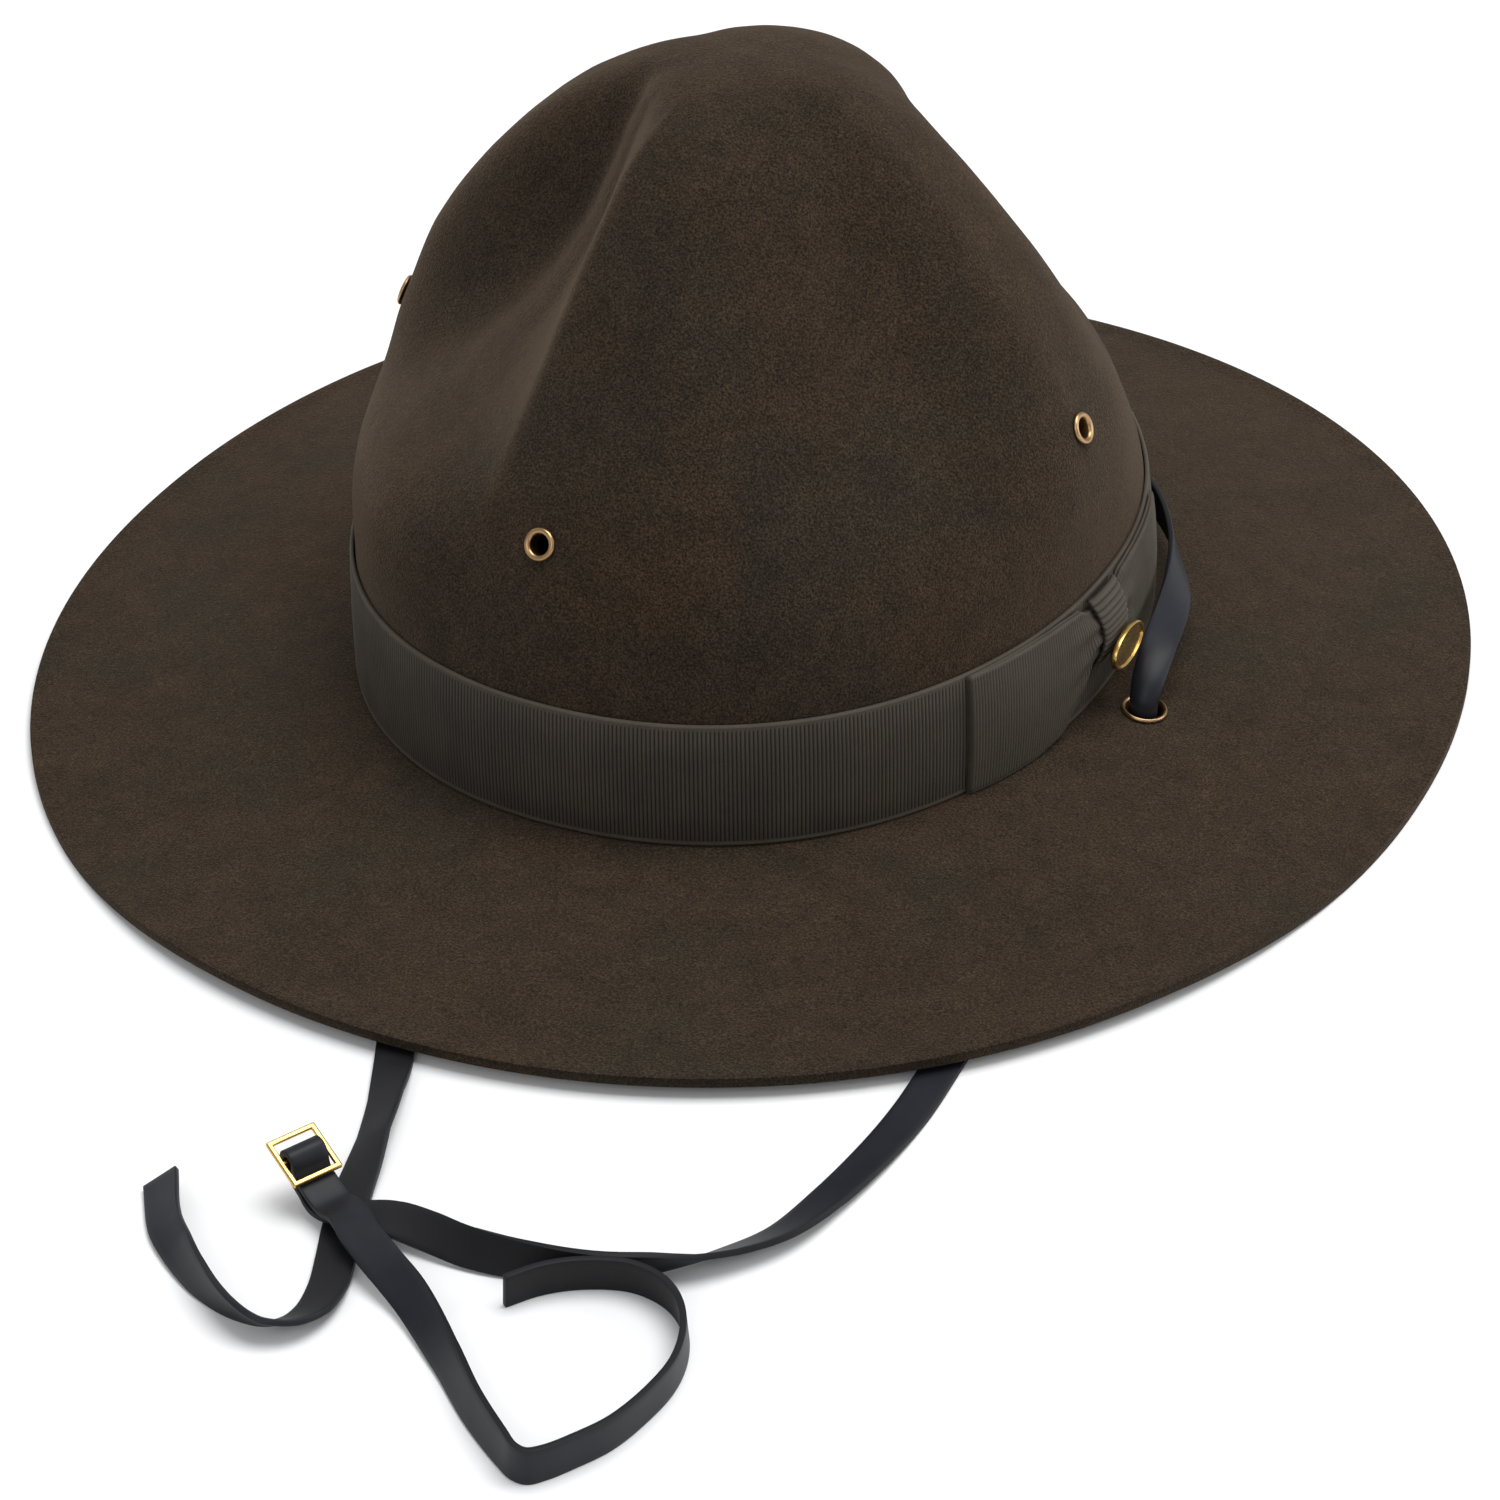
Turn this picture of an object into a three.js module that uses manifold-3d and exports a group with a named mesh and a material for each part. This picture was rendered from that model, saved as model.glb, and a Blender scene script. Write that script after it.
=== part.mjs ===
// Campaign hat: one felt body with a four-dent crown and a flat brim, a ribbon band with a
// flat bow and an oval badge, brass eyelets and grommets, and a leather chin strap with a slide
// buckle. Millimetres, +Z up, hat standing on its brim edge, its front towards -Y and the
// wearer's left towards +X. The origin is below the middle of the hat, on the surface.
import * as THREE from 'three';
import { mergeVertices } from 'three/addons/utils/BufferGeometryUtils.js';
import Module from 'manifold-3d';

const wasm = await Module();
wasm.setup();

// Felt body
const FELT = 2.2;                 // wall of the crown and the brim
const HEAD_HALF_WIDTH = 86.2;     // outside of the felt where crown and brim meet
const HEAD_HALF_LENGTH = 103.4;
const HEAD_POWER = 2.13;          // exponent of the head oval, 2 is an ellipse
const BRIM_SIDE = 76;             // brim width beside the head
const BRIM_ENDS = 75;             // brim width before and behind the head
const BRIM_POWER = 2.07;
const BRIM_FALL = 8.4;            // how far the brim slopes down to its edge
const REST_STRIP = 5;             // level strip along the brim edge that the hat rests on
const CROWN_RISE = 138;           // from the brim to the peak
const PEAK_FORWARD = 2.2;
const HAT_SEGMENTS = 56;          // facets round the felt and the band
const GAP = 0.3;                  // clearance between neighbouring pieces

// Ribbon, bow and badge
const RIBBON_HEIGHT = 29.5;
const RIBBON = 0.8;               // thickness of the band
const RIBBON_GAP = 0.4;           // from the felt to the band
const BOW_AZIMUTH = 84.5;         // degrees from the front towards the wearer's left
const BOW_FRONT = 48;             // length of each loop from the middle of the knot
const BOW_BACK = 44;
const BOW_THICK = 1.9;            // a loop pressed flat, two layers of ribbon
const KNOT_WIDTH = 13;
const KNOT_HEIGHT = 18;
const KNOT_SHARE = 0.67;          // height of its middle as a share of the ribbon
const KNOT_THICK = 1.2;
const BADGE_LENGTH = 16;
const BADGE_HEIGHT = 9.6;
const BADGE_THICK = 1.2;
const BADGE_RIM = 0.5;
const BADGE_SHARE = 0.5;          // height of its middle as a share of the ribbon

// Brass eyelets and grommets
const EYELET_BORE = 2.2;
const EYELET_RIM = 3.65;
const GROMMET_BORE = 4.2;
const GROMMET_RIM = 5.3;
const TUBE_WALL = 0.4;
const RIM_THICK = 0.8;
const GROMMET_OUT = 12;           // from the head oval out to the middle of the hole
const GROMMET_AZIMUTH = 86;

// Chin strap and buckle
const STRAP_WIDTH = 8;
const STRAP = 1.3;
const LAID = 0.05;                // the strap lies this far above the surface
const BUCKLE_WINDOW = 8.8;
const BUCKLE_BAR = 1.1;
const BUCKLE_X = 4.3;
const BUCKLE_Y = -223.5;
const BUCKLE_Z = 5.8;             // the strap's turn holds it clear of the surface
const BUCKLE_HEADING = -28;       // degrees from +X to the side where the straps leave
const BUCKLE_TILT = 24;           // degrees that the stiff strap holds its far side up
const TILT_ALONG = 11;            // the line about which it leans, from its middle bar
const TILT_HEIGHT = 3.2;

// Where the strap slips under the front of the brim, the edge is raised
const FRONT_LIFT = STRAP + 1.6;
const LIFT_AZIMUTH = 20;
const LIFT_HALF = 34;
const LIFT_FADE = 26;

// Crown: heights as shares of the rise, radii as shares of the head oval
const CROWN_ROWS = [
  {
    rise: 0.00, front: 1.000, side: 1.000, rightSide: 1.000,
    back: 1.00, leftDent: 1.000, rightDent: 1.000, backDent: 1.000
  },
  {
    rise: 0.11, front: 1.000, side: 1.000, rightSide: 1.000,
    back: 1.00, leftDent: 1.000, rightDent: 1.000, backDent: 0.995
  },
  {
    rise: 0.22, front: 0.990, side: 0.995, rightSide: 0.995,
    back: 0.99, leftDent: 0.990, rightDent: 0.995, backDent: 0.975
  },
  {
    rise: 0.33, front: 0.945, side: 0.995, rightSide: 0.995,
    back: 0.96, leftDent: 0.960, rightDent: 0.990, backDent: 0.920
  },
  {
    rise: 0.40, front: 0.910, side: 0.990, rightSide: 0.990,
    back: 0.93, leftDent: 0.918, rightDent: 0.950, backDent: 0.868
  },
  {
    rise: 0.47, front: 0.862, side: 0.970, rightSide: 0.975,
    back: 0.89, leftDent: 0.862, rightDent: 0.825, backDent: 0.790
  },
  {
    rise: 0.54, front: 0.800, side: 0.920, rightSide: 0.935,
    back: 0.83, leftDent: 0.785, rightDent: 0.680, backDent: 0.690
  },
  {
    rise: 0.64, front: 0.700, side: 0.835, rightSide: 0.865,
    back: 0.72, leftDent: 0.660, rightDent: 0.515, backDent: 0.555
  },
  {
    rise: 0.74, front: 0.600, side: 0.715, rightSide: 0.755,
    back: 0.59, leftDent: 0.540, rightDent: 0.400, backDent: 0.465
  },
  {
    rise: 0.84, front: 0.485, side: 0.560, rightSide: 0.605,
    back: 0.47, leftDent: 0.420, rightDent: 0.325, backDent: 0.410
  },
  {
    rise: 0.92, front: 0.380, side: 0.405, rightSide: 0.440,
    back: 0.36, leftDent: 0.320, rightDent: 0.270, backDent: 0.340
  },
  {
    rise: 0.98, front: 0.210, side: 0.225, rightSide: 0.240,
    back: 0.19, leftDent: 0.190, rightDent: 0.200, backDent: 0.190
  },
  {
    rise: 1.00, front: 0.000, side: 0.000, rightSide: 0.000,
    back: 0.00, leftDent: 0.000, rightDent: 0.000, backDent: 0.000
  }
];

// Ridges and dents round the crown. before and after are the degrees of flat top or floor on
// either side, and a creased dent falls from the next ridge with a crisp edge.
const FOLDS = [
  { azimuth: -5.5, form: 'front', before: 12, after: 9 },
  { azimuth: 45, form: 'leftDent', before: 3, after: 3 },
  { azimuth: 87, form: 'side', before: 4, after: 4 },
  { azimuth: 137, form: 'backDent', before: 3, after: 3 },
  { azimuth: 180, form: 'back', before: 5, after: 5 },
  { azimuth: 223, form: 'backDent', before: 3, after: 3 },
  { azimuth: 271, form: 'rightSide', before: 4, after: 4 },
  { azimuth: 310, form: 'rightDent', before: 4, after: 6, creased: true }
];
const FOLD_POWER = 1.5;
const CREASE_POWER = 1.8;

// Chin strap over the brim, from the left grommet round the back of the crown. The right half
// mirrors it. out is from the head oval, up is above the foot of the crown, both to the middle.
const BACK_ROUTE = [
  { azimuth: 86, out: 12, up: -2.2, tilt: 0, curl: 160 },
  { azimuth: 86.05, out: 12, up: 1.2, tilt: 0, curl: 150 },
  { azimuth: 87.4, out: 11.9, up: 5.4, tilt: 2, curl: 90 },
  { azimuth: 91.5, out: 11.2, up: 9.6, tilt: 8, curl: 25 },
  { azimuth: 98, out: 10, up: 10.4, tilt: 22, curl: 0 },
  { azimuth: 106, out: 8.4, up: 9.4, tilt: 46, curl: 0 },
  { azimuth: 116, out: 6.4, up: 7.8, tilt: 74, curl: 0 },
  { azimuth: 128, out: 4.8, up: 6.5, tilt: 90, curl: 0 },
  { azimuth: 142, out: 3.4, up: 6.2, tilt: 90, curl: 0 },
  { azimuth: 160, out: 2.8, up: 6.2, tilt: 90, curl: 0 },
  { azimuth: 180, out: 2.8, up: 6.2, tilt: 90, curl: 0 }
];

// Round the middle bar of the buckle: along is from the bar towards where the strap leaves
const BAR_TURN = [
  { along: 10, z: 2.1 },
  { along: 5.9, z: 2.2 },
  { along: 1.6, z: 2.9 },
  { along: -1.3, z: 4.35 },
  { along: -1.95, z: 5.8 },
  { along: -1.38, z: 7.2 },
  { along: 0, z: 7.8 },
  { along: 1.4, z: 7.2 },
  { along: 2.6, z: 5.4 },
  { along: 4, z: 4.2 },
  { along: 5.8, z: 4.1 },
  { along: 11, z: 4.5 }
];

// A place at the buckle, leant back about the line where the straps leave
function besideBar(along, z) {
  const tilt = THREE.MathUtils.degToRad(BUCKLE_TILT);
  const back = along - TILT_ALONG;
  const up = z - TILT_HEIGHT;
  const reach = TILT_ALONG + back * Math.cos(tilt) + up * Math.sin(tilt);
  const heading = THREE.MathUtils.degToRad(BUCKLE_HEADING);
  return {
    x: BUCKLE_X + reach * Math.cos(heading),
    y: BUCKLE_Y + reach * Math.sin(heading),
    z: TILT_HEIGHT - back * Math.sin(tilt) + up * Math.cos(tilt)
  };
}

function barTurn() {
  return BAR_TURN.map((row) => {
    const place = besideBar(row.along, row.z);
    return { x: place.x, y: place.y, lift: place.z - LAID - STRAP / 2, tilt: 180, curl: 0 };
  });
}

// Free runs of the chin strap. lift is above where the strap would lie on the surface, tilt is
// degrees from flat and curl how far the strap is rolled lengthwise, negative opening upwards.
const LEFT_ROUTE = [
  { x: 97.9, y: -7.4, lift: 4, tilt: 0, curl: -160 },
  { x: 97.75, y: -7.6, lift: 1.9, tilt: 0, curl: -160 },
  { x: 97.8, y: -8.5, lift: 0.8, tilt: 0, curl: -150 },
  { x: 97.9, y: -10.4, lift: 0.4, tilt: 0, curl: -130 },
  { x: 98.1, y: -13.4, lift: 0.2, tilt: 0, curl: -90 },
  { x: 98.3, y: -17.5, lift: 0, tilt: 0, curl: -50 },
  { x: 98.6, y: -23, lift: 0, tilt: 0, curl: -20 },
  { x: 99, y: -30, lift: 0, tilt: 0, curl: 0 },
  { x: 100, y: -52, lift: 0, tilt: 0, curl: 0 },
  { x: 101, y: -80, lift: 0, tilt: 0, curl: 0 },
  { x: 102, y: -108, lift: 0, tilt: 0, curl: 0 },
  { x: 103, y: -136, lift: 0, tilt: 0, curl: 0 },
  { x: 103.3, y: -153, lift: 0, tilt: 0, curl: 0 },
  { x: 102.4, y: -167, lift: 0, tilt: 6, curl: 0 },
  { x: 99.7, y: -185, lift: 0, tilt: 13, curl: 0 },
  { x: 95.8, y: -200, lift: 0, tilt: 25, curl: 0 },
  { x: 89.6, y: -209.5, lift: 0, tilt: 34, curl: 0 },
  { x: 84.2, y: -215.4, lift: 0, tilt: 45, curl: 0 },
  { x: 77.9, y: -220.2, lift: 0, tilt: 64, curl: 0 },
  { x: 69.8, y: -225, lift: 0, tilt: 80, curl: 0 },
  { x: 59.8, y: -228, lift: 0, tilt: 94, curl: 0 },
  { x: 52, y: -229.4, lift: 0, tilt: 110, curl: 0 },
  { x: 43.9, y: -229.4, lift: 0, tilt: 128, curl: 0 },
  { x: 35, y: -228.4, lift: 0.9, tilt: 146, curl: 0 },
  { x: 26.5, y: -227.6, lift: 1.8, tilt: 166, curl: 0 },
  { x: 19.6, y: -228.2, lift: 1.7, tilt: 178, curl: 0 },
  ...barTurn(),
  { x: 19, y: -231.2, lift: 4.3, tilt: 182, curl: 0 },
  { x: 24.5, y: -236, lift: 4.1, tilt: 188, curl: 0 },
  { x: 31, y: -240.5, lift: 3, tilt: 200, curl: 0 },
  { x: 41, y: -246.8, lift: 0.8, tilt: 222, curl: 0 },
  { x: 55, y: -259, lift: 0, tilt: 243, curl: 0 },
  { x: 66, y: -269.4, lift: 0, tilt: 252, curl: 0 },
  { x: 75.4, y: -276.7, lift: 0, tilt: 260, curl: 0 },
  { x: 79.5, y: -279.4, lift: 0, tilt: 266, curl: 0 },
  { x: 82.2, y: -279.6, lift: 0, tilt: 270, curl: 0 },
  { x: 84.8, y: -277.4, lift: 0, tilt: 273, curl: 0 },
  { x: 88.3, y: -272.4, lift: 0, tilt: 274, curl: 0 },
  { x: 92, y: -265.8, lift: 0, tilt: 274, curl: 0 },
  { x: 94.5, y: -256.5, lift: 0, tilt: 274, curl: 0 },
  { x: 95.4, y: -247, lift: 0, tilt: 272, curl: 0 },
  { x: 93.6, y: -238.2, lift: 0, tilt: 268, curl: 0 },
  { x: 89.5, y: -230.8, lift: 0, tilt: 264, curl: 0 },
  { x: 83.8, y: -226.4, lift: 0, tilt: 264, curl: 0 },
  { x: 76.2, y: -225, lift: 0, tilt: 264, curl: 0 },
  { x: 67.7, y: -227.8, lift: 0, tilt: 264, curl: 0 },
  { x: 61.3, y: -232.4, lift: 0, tilt: 264, curl: 0 },
  { x: 56.5, y: -238.5, lift: 0, tilt: 264, curl: 0 }
];
const RIGHT_ROUTE = [
  { x: -97.9, y: -7.4, lift: 4, tilt: 0, curl: -160 },
  { x: -97.75, y: -7.5, lift: 1.9, tilt: 0, curl: -160 },
  { x: -97.3, y: -8.3, lift: 0.8, tilt: 0, curl: -150 },
  { x: -96.4, y: -10, lift: 0.4, tilt: 0, curl: -130 },
  { x: -94.8, y: -12.6, lift: 0.2, tilt: 0, curl: -90 },
  { x: -92.6, y: -16.1, lift: 0, tilt: 0, curl: -50 },
  { x: -89.7, y: -20.8, lift: 0, tilt: 0, curl: -20 },
  { x: -86, y: -26.8, lift: 0, tilt: 0, curl: 0 },
  { x: -72, y: -49, lift: 0, tilt: 0, curl: 0 },
  { x: -56, y: -75, lift: 0, tilt: 0, curl: 0 },
  { x: -40, y: -102, lift: 0, tilt: 0, curl: 0 },
  { x: -24, y: -130, lift: 0, tilt: 0, curl: 0 },
  { x: -9.5, y: -158, lift: 0, tilt: 0, curl: 0 },
  { x: 1.4, y: -181, lift: 0, tilt: 2, curl: 0 },
  { x: 6.3, y: -193, lift: 0, tilt: 28, curl: 0 },
  { x: 10.2, y: -205, lift: 0, tilt: 34, curl: 0 },
  { x: 12.7, y: -214, lift: 0, tilt: 18, curl: 0 },
  { x: 14.9, y: -223, lift: 0, tilt: 3, curl: 0 },
  { x: 17.7, y: -231.5, lift: 0, tilt: 0, curl: 0 },
  { x: 20.9, y: -239.5, lift: 0, tilt: 2, curl: 0 },
  { x: 24, y: -248.4, lift: 0, tilt: 10, curl: 0 },
  { x: 24.9, y: -255.8, lift: 0, tilt: 20, curl: 0 },
  { x: 23.2, y: -261, lift: 0, tilt: 32, curl: 0 },
  { x: 19.2, y: -263.8, lift: 0, tilt: 46, curl: 0 },
  { x: 12.7, y: -263.3, lift: 0, tilt: 70, curl: 0 },
  { x: 2.2, y: -258.4, lift: 0, tilt: 105, curl: 0 },
  { x: -6.5, y: -251.8, lift: 0, tilt: 128, curl: 0 },
  { x: -13, y: -245.7, lift: 0, tilt: 140, curl: 0 },
  { x: -21, y: -233.9, lift: 0, tilt: 148, curl: 0 }
];

const EDGE_TOP = FELT;
const FOOT = EDGE_TOP + BRIM_FALL;
const radians = THREE.MathUtils.degToRad;
const degrees = THREE.MathUtils.radToDeg;

// A finish for each material of the hat
const felt = new THREE.MeshStandardMaterial({ color: 0x43382c, roughness: 0.95, metalness: 0 });
const ribbon = new THREE.MeshStandardMaterial({ color: 0x37342d, roughness: 0.85, metalness: 0 });
const brass = new THREE.MeshStandardMaterial({ color: 0xb08a45, roughness: 0.3, metalness: 1 });
const leather = new THREE.MeshStandardMaterial({ color: 0x20212a, roughness: 0.5, metalness: 0 });

const hat = new THREE.Group();

function addPiece(name, geometry, material) {
  const mesh = new THREE.Mesh(geometry, material);
  mesh.name = name;
  hat.add(mesh);
  return mesh;
}

// Leaves only merged positions and drops triangles that have no area
function closedGeometry(geometry) {
  const bare = geometry.clone();
  bare.deleteAttribute('normal');
  bare.deleteAttribute('uv');
  const merged = mergeVertices(bare, 1e-4);
  const index = merged.index.array;
  const kept = [];
  for (let i = 0; i < index.length; i += 3) {
    const [a, b, c] = [index[i], index[i + 1], index[i + 2]];
    if (a !== b && b !== c && c !== a) kept.push(a, b, c);
  }
  merged.setIndex(kept);
  return merged;
}

function toSolid(geometry) {
  const closed = closedGeometry(geometry);
  return new wasm.Manifold(new wasm.Mesh({
    numProp: 3,
    vertProperties: new Float32Array(closed.attributes.position.array),
    triVerts: new Uint32Array(closed.index.array)
  }));
}

function toGeometry(solid) {
  const mesh = solid.getMesh();
  const geometry = new THREE.BufferGeometry();
  geometry.setAttribute('position', new THREE.BufferAttribute(mesh.vertProperties, 3));
  geometry.setIndex(new THREE.BufferAttribute(mesh.triVerts, 1));
  return geometry;
}

// Point of an oval in plan, at an angle from the front towards the wearer's left
function ovalPoint(azimuth, halfWidth, halfLength, power) {
  const angle = radians(azimuth);
  const [c, s] = [Math.cos(angle), Math.sin(angle)];
  const reach = (Math.abs(c) ** power + Math.abs(s) ** power) ** (-1 / power);
  return new THREE.Vector2(halfWidth * reach * s, -halfLength * reach * c);
}

function headOval(azimuth) {
  return ovalPoint(azimuth, HEAD_HALF_WIDTH, HEAD_HALF_LENGTH, HEAD_POWER);
}

// Direction in plan that points straight out of the head oval
function headNormal(azimuth) {
  const along = headOval(azimuth + 0.5).sub(headOval(azimuth - 0.5)).normalize();
  return new THREE.Vector2(along.y, -along.x);
}

// Point beside the crown, out from the head oval and up from the foot of the crown
function besideHead(azimuth, out, up) {
  const plan = headOval(azimuth).addScaledVector(headNormal(azimuth), out);
  return new THREE.Vector3(plan.x, plan.y, FOOT + up);
}

// Smooth curve through a column of the crown's table, row is counted from the foot
function crownColumn(form, row) {
  const last = CROWN_ROWS.length - 1;
  const i = Math.min(Math.floor(row), last - 1);
  const f = row - i;
  const at = (k) => CROWN_ROWS[k][form];
  const [p1, p2] = [at(i), at(i + 1)];
  const p0 = i > 0 ? at(i - 1) : 2 * p1 - p2;
  const p3 = i < last - 1 ? at(i + 2) : 2 * p2 - p1;
  return 0.5 * (2 * p1 + (p2 - p0) * f + (2 * p0 - 5 * p1 + 4 * p2 - p3) * f * f
    + (3 * p1 - p0 - 3 * p2 + p3) * f ** 3);
}

// The ridge and the dent that an azimuth lies between, with the ridge's share
function foldAt(azimuth) {
  for (let i = 0; i < FOLDS.length; i += 1) {
    const here = FOLDS[i];
    const next = FOLDS[(i + 1) % FOLDS.length];
    const span = (next.azimuth - here.azimuth + 360) % 360;
    const turn = (((azimuth - here.azimuth) % 360) + 360) % 360;
    if (turn < span) {
      const x = THREE.MathUtils.clamp((turn - here.after) / (span - here.after - next.before), 0, 1);
      const fromRidge = here.form.endsWith('Dent') ? 1 - x : x;
      const share = here.creased
        ? (1 - fromRidge) ** CREASE_POWER
        : Math.cos(fromRidge * Math.PI / 2) ** (2 * FOLD_POWER);
      return here.form.endsWith('Dent')
        ? { ridge: next.form, dent: here.form, share }
        : { ridge: here.form, dent: next.form, share };
    }
  }
  return { ridge: 'front', dent: 'leftDent', share: 1 };
}

function crownPoint(azimuth, row) {
  const fold = foldAt(azimuth);
  const reach = crownColumn(fold.dent, row) * (1 - fold.share) + crownColumn(fold.ridge, row) * fold.share;
  const rise = crownColumn('rise', row);
  const plan = headOval(azimuth).multiplyScalar(reach);
  return new THREE.Vector3(plan.x, plan.y - PEAK_FORWARD * rise * rise, FOOT + CROWN_RISE * rise);
}

// How far the brim edge is raised at an azimuth
function edgeLift(azimuth) {
  const away = Math.abs((((azimuth - LIFT_AZIMUTH) % 360) + 540) % 360 - 180);
  return FRONT_LIFT * (1 - THREE.MathUtils.smoothstep(away, LIFT_HALF, LIFT_HALF + LIFT_FADE));
}

// Top of the brim, share 0 at the crown and 1 at the edge
function brimPoint(azimuth, share) {
  const foot = headOval(azimuth);
  const halfWidth = HEAD_HALF_WIDTH + BRIM_SIDE;
  const halfLength = HEAD_HALF_LENGTH + BRIM_ENDS;
  const plan = foot.clone().lerp(ovalPoint(azimuth, halfWidth, halfLength, BRIM_POWER), share);
  const level = REST_STRIP / Math.max(BRIM_SIDE, BRIM_ENDS);
  const slope = 1 - Math.min(share / (1 - level), 1);
  const z = EDGE_TOP + BRIM_FALL * slope ** 1.08 + edgeLift(azimuth) * (1 - slope) ** 1.5;
  return new THREE.Vector3(plan.x, plan.y, z);
}

// Outward normal of a surface given as a function of azimuth and a second parameter
function surfaceNormal(surface, azimuth, v, step) {
  const across = surface(azimuth + 1, v).sub(surface(azimuth - 1, v));
  const along = surface(azimuth, v + step).sub(surface(azimuth, v - step));
  return across.cross(along).normalize();
}

// The felt's section from the peak down the outside, over the brim and back up the inside
function feltSection() {
  const lastRow = CROWN_ROWS.length - 1;
  const section = [];
  const outerSteps = 22;
  for (let i = 0; i <= outerSteps; i += 1) {
    const row = lastRow * (1 - i / outerSteps);
    section.push((azimuth) => crownPoint(azimuth, row));
  }
  const level = 1 - REST_STRIP / Math.max(BRIM_SIDE, BRIM_ENDS);
  const shares = [0.25, 0.5, 0.75, level, 1];
  for (const share of shares) section.push((azimuth) => brimPoint(azimuth, share));
  const under = new THREE.Vector3(0, 0, -FELT);
  for (const share of [...shares].reverse()) {
    section.push((azimuth) => brimPoint(azimuth, share).add(under));
  }
  section.push((azimuth) => brimPoint(azimuth, 0).add(under));
  const half = FELT * Math.SQRT1_2;
  section.push((azimuth) => besideHead(azimuth, -half, -half));
  const innerSteps = 13;
  for (let i = 0; i < innerSteps; i += 1) {
    const row = lastRow * i / innerSteps;
    section.push((azimuth) => {
      const probe = Math.max(row, 0.1);
      const normal = surfaceNormal(crownPoint, azimuth, probe, 0.1);
      return crownPoint(azimuth, row).addScaledVector(normal, -FELT);
    });
  }
  section.push((azimuth) => crownPoint(azimuth, lastRow).add(under));
  return section;
}

// A lathe turned once and then bent to the hat's section at each azimuth
function bentLathe(section, segments) {
  const profile = section.map((_, j) => new THREE.Vector2(1, -j));
  const lathe = new THREE.LatheGeometry(profile, segments);
  const uv = lathe.attributes.uv;
  const position = lathe.attributes.position;
  for (let i = 0; i < position.count; i += 1) {
    const turn = Math.round(uv.getX(i) * segments) % segments;
    const point = section[Math.round(uv.getY(i) * (section.length - 1))](turn * 360 / segments);
    position.setXYZ(i, point.x, point.y, point.z);
  }
  return closedGeometry(lathe);
}

// Faces out whichever way the bending turned them
function facingOut(geometry) {
  const index = geometry.index.array;
  const position = geometry.attributes.position;
  const [a, b, c] = [new THREE.Vector3(), new THREE.Vector3(), new THREE.Vector3()];
  let volume = 0;
  for (let i = 0; i < index.length; i += 3) {
    a.fromBufferAttribute(position, index[i]);
    b.fromBufferAttribute(position, index[i + 1]);
    c.fromBufferAttribute(position, index[i + 2]);
    volume += a.dot(b.cross(c));
  }
  if (volume < 0) {
    for (let i = 0; i < index.length; i += 3) [index[i], index[i + 1]] = [index[i + 1], index[i]];
  }
  return geometry;
}

// Matrix that stands +Z along an outward direction at a point
function standOn(point, direction) {
  const turn = new THREE.Quaternion().setFromUnitVectors(new THREE.Vector3(0, 0, 1), direction);
  return new THREE.Matrix4().compose(point, turn, new THREE.Vector3(1, 1, 1));
}

// Brass ring with a tube through the felt and a rolled rim on both sides
function rimmedTube(bore, rim) {
  const tube = bore + TUBE_WALL;
  const inside = FELT / 2 + GAP;
  const crest = inside + RIM_THICK;
  const round = RIM_THICK * 0.45;
  const half = [
    [bore, crest - round], [bore + round, crest], [rim - round, crest], [rim, inside], [tube, inside]
  ];
  const profile = [...half, ...half.map(([r, z]) => [r, -z]).reverse()];
  profile.push(profile[0]);
  const lathe = new THREE.LatheGeometry(profile.map(([r, z]) => new THREE.Vector2(r, z)), 16);
  return facingOut(closedGeometry(lathe.rotateX(Math.PI / 2)));
}

// The middle of the felt wall at a height on the crown, with its outward direction
function crownSeat(azimuth, height) {
  let row = 0;
  while (crownPoint(azimuth, row).z < FOOT + height) row += 0.02;
  const normal = surfaceNormal(crownPoint, azimuth, row, 0.1);
  return { point: crownPoint(azimuth, row).addScaledVector(normal, -FELT / 2), normal };
}

function brimSeat(azimuth) {
  const share = GROMMET_OUT / BRIM_SIDE;
  const normal = surfaceNormal(brimPoint, azimuth, share, 0.02);
  if (normal.z < 0) normal.negate();
  const point = besideHead(azimuth, GROMMET_OUT, 0).setZ(brimPoint(azimuth, share).z);
  return { point: point.addScaledVector(normal, -FELT / 2), normal };
}

const FITTINGS = [
  { name: 'eyelet_front', seat: crownSeat(-6, 61), bore: EYELET_BORE, rim: EYELET_RIM },
  { name: 'eyelet_left', seat: crownSeat(84, 68), bore: EYELET_BORE, rim: EYELET_RIM },
  { name: 'eyelet_right', seat: crownSeat(-84, 68), bore: EYELET_BORE, rim: EYELET_RIM },
  { name: 'grommet_left', seat: brimSeat(GROMMET_AZIMUTH), bore: GROMMET_BORE, rim: GROMMET_RIM },
  { name: 'grommet_right', seat: brimSeat(-GROMMET_AZIMUTH), bore: GROMMET_BORE, rim: GROMMET_RIM }
];

function buildFelt() {
  let body = toSolid(facingOut(bentLathe(feltSection(), HAT_SEGMENTS)));
  for (const { seat, bore, rim } of FITTINGS) {
    const place = standOn(seat.point, seat.normal);
    const hole = new THREE.CylinderGeometry(bore + TUBE_WALL + GAP, bore + TUBE_WALL + GAP, 6 * FELT, 16);
    body = body.subtract(toSolid(hole.rotateX(Math.PI / 2).applyMatrix4(place)));
    // the felt is pressed flat under both rims
    for (const side of [-1, 1]) {
      const press = new THREE.CylinderGeometry(rim + GAP, rim + GAP, FELT, 16);
      press.rotateX(Math.PI / 2).translate(0, 0, side * (FELT + 0.02)).applyMatrix4(place);
      body = body.subtract(toSolid(press));
    }
  }
  addPiece('felt_body', toGeometry(body), felt);
}

function buildFittings() {
  for (const { name, seat, bore, rim } of FITTINGS) {
    const piece = addPiece(name, rimmedTube(bore, rim), brass);
    piece.applyMatrix4(standOn(seat.point, seat.normal));
  }
}

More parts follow.
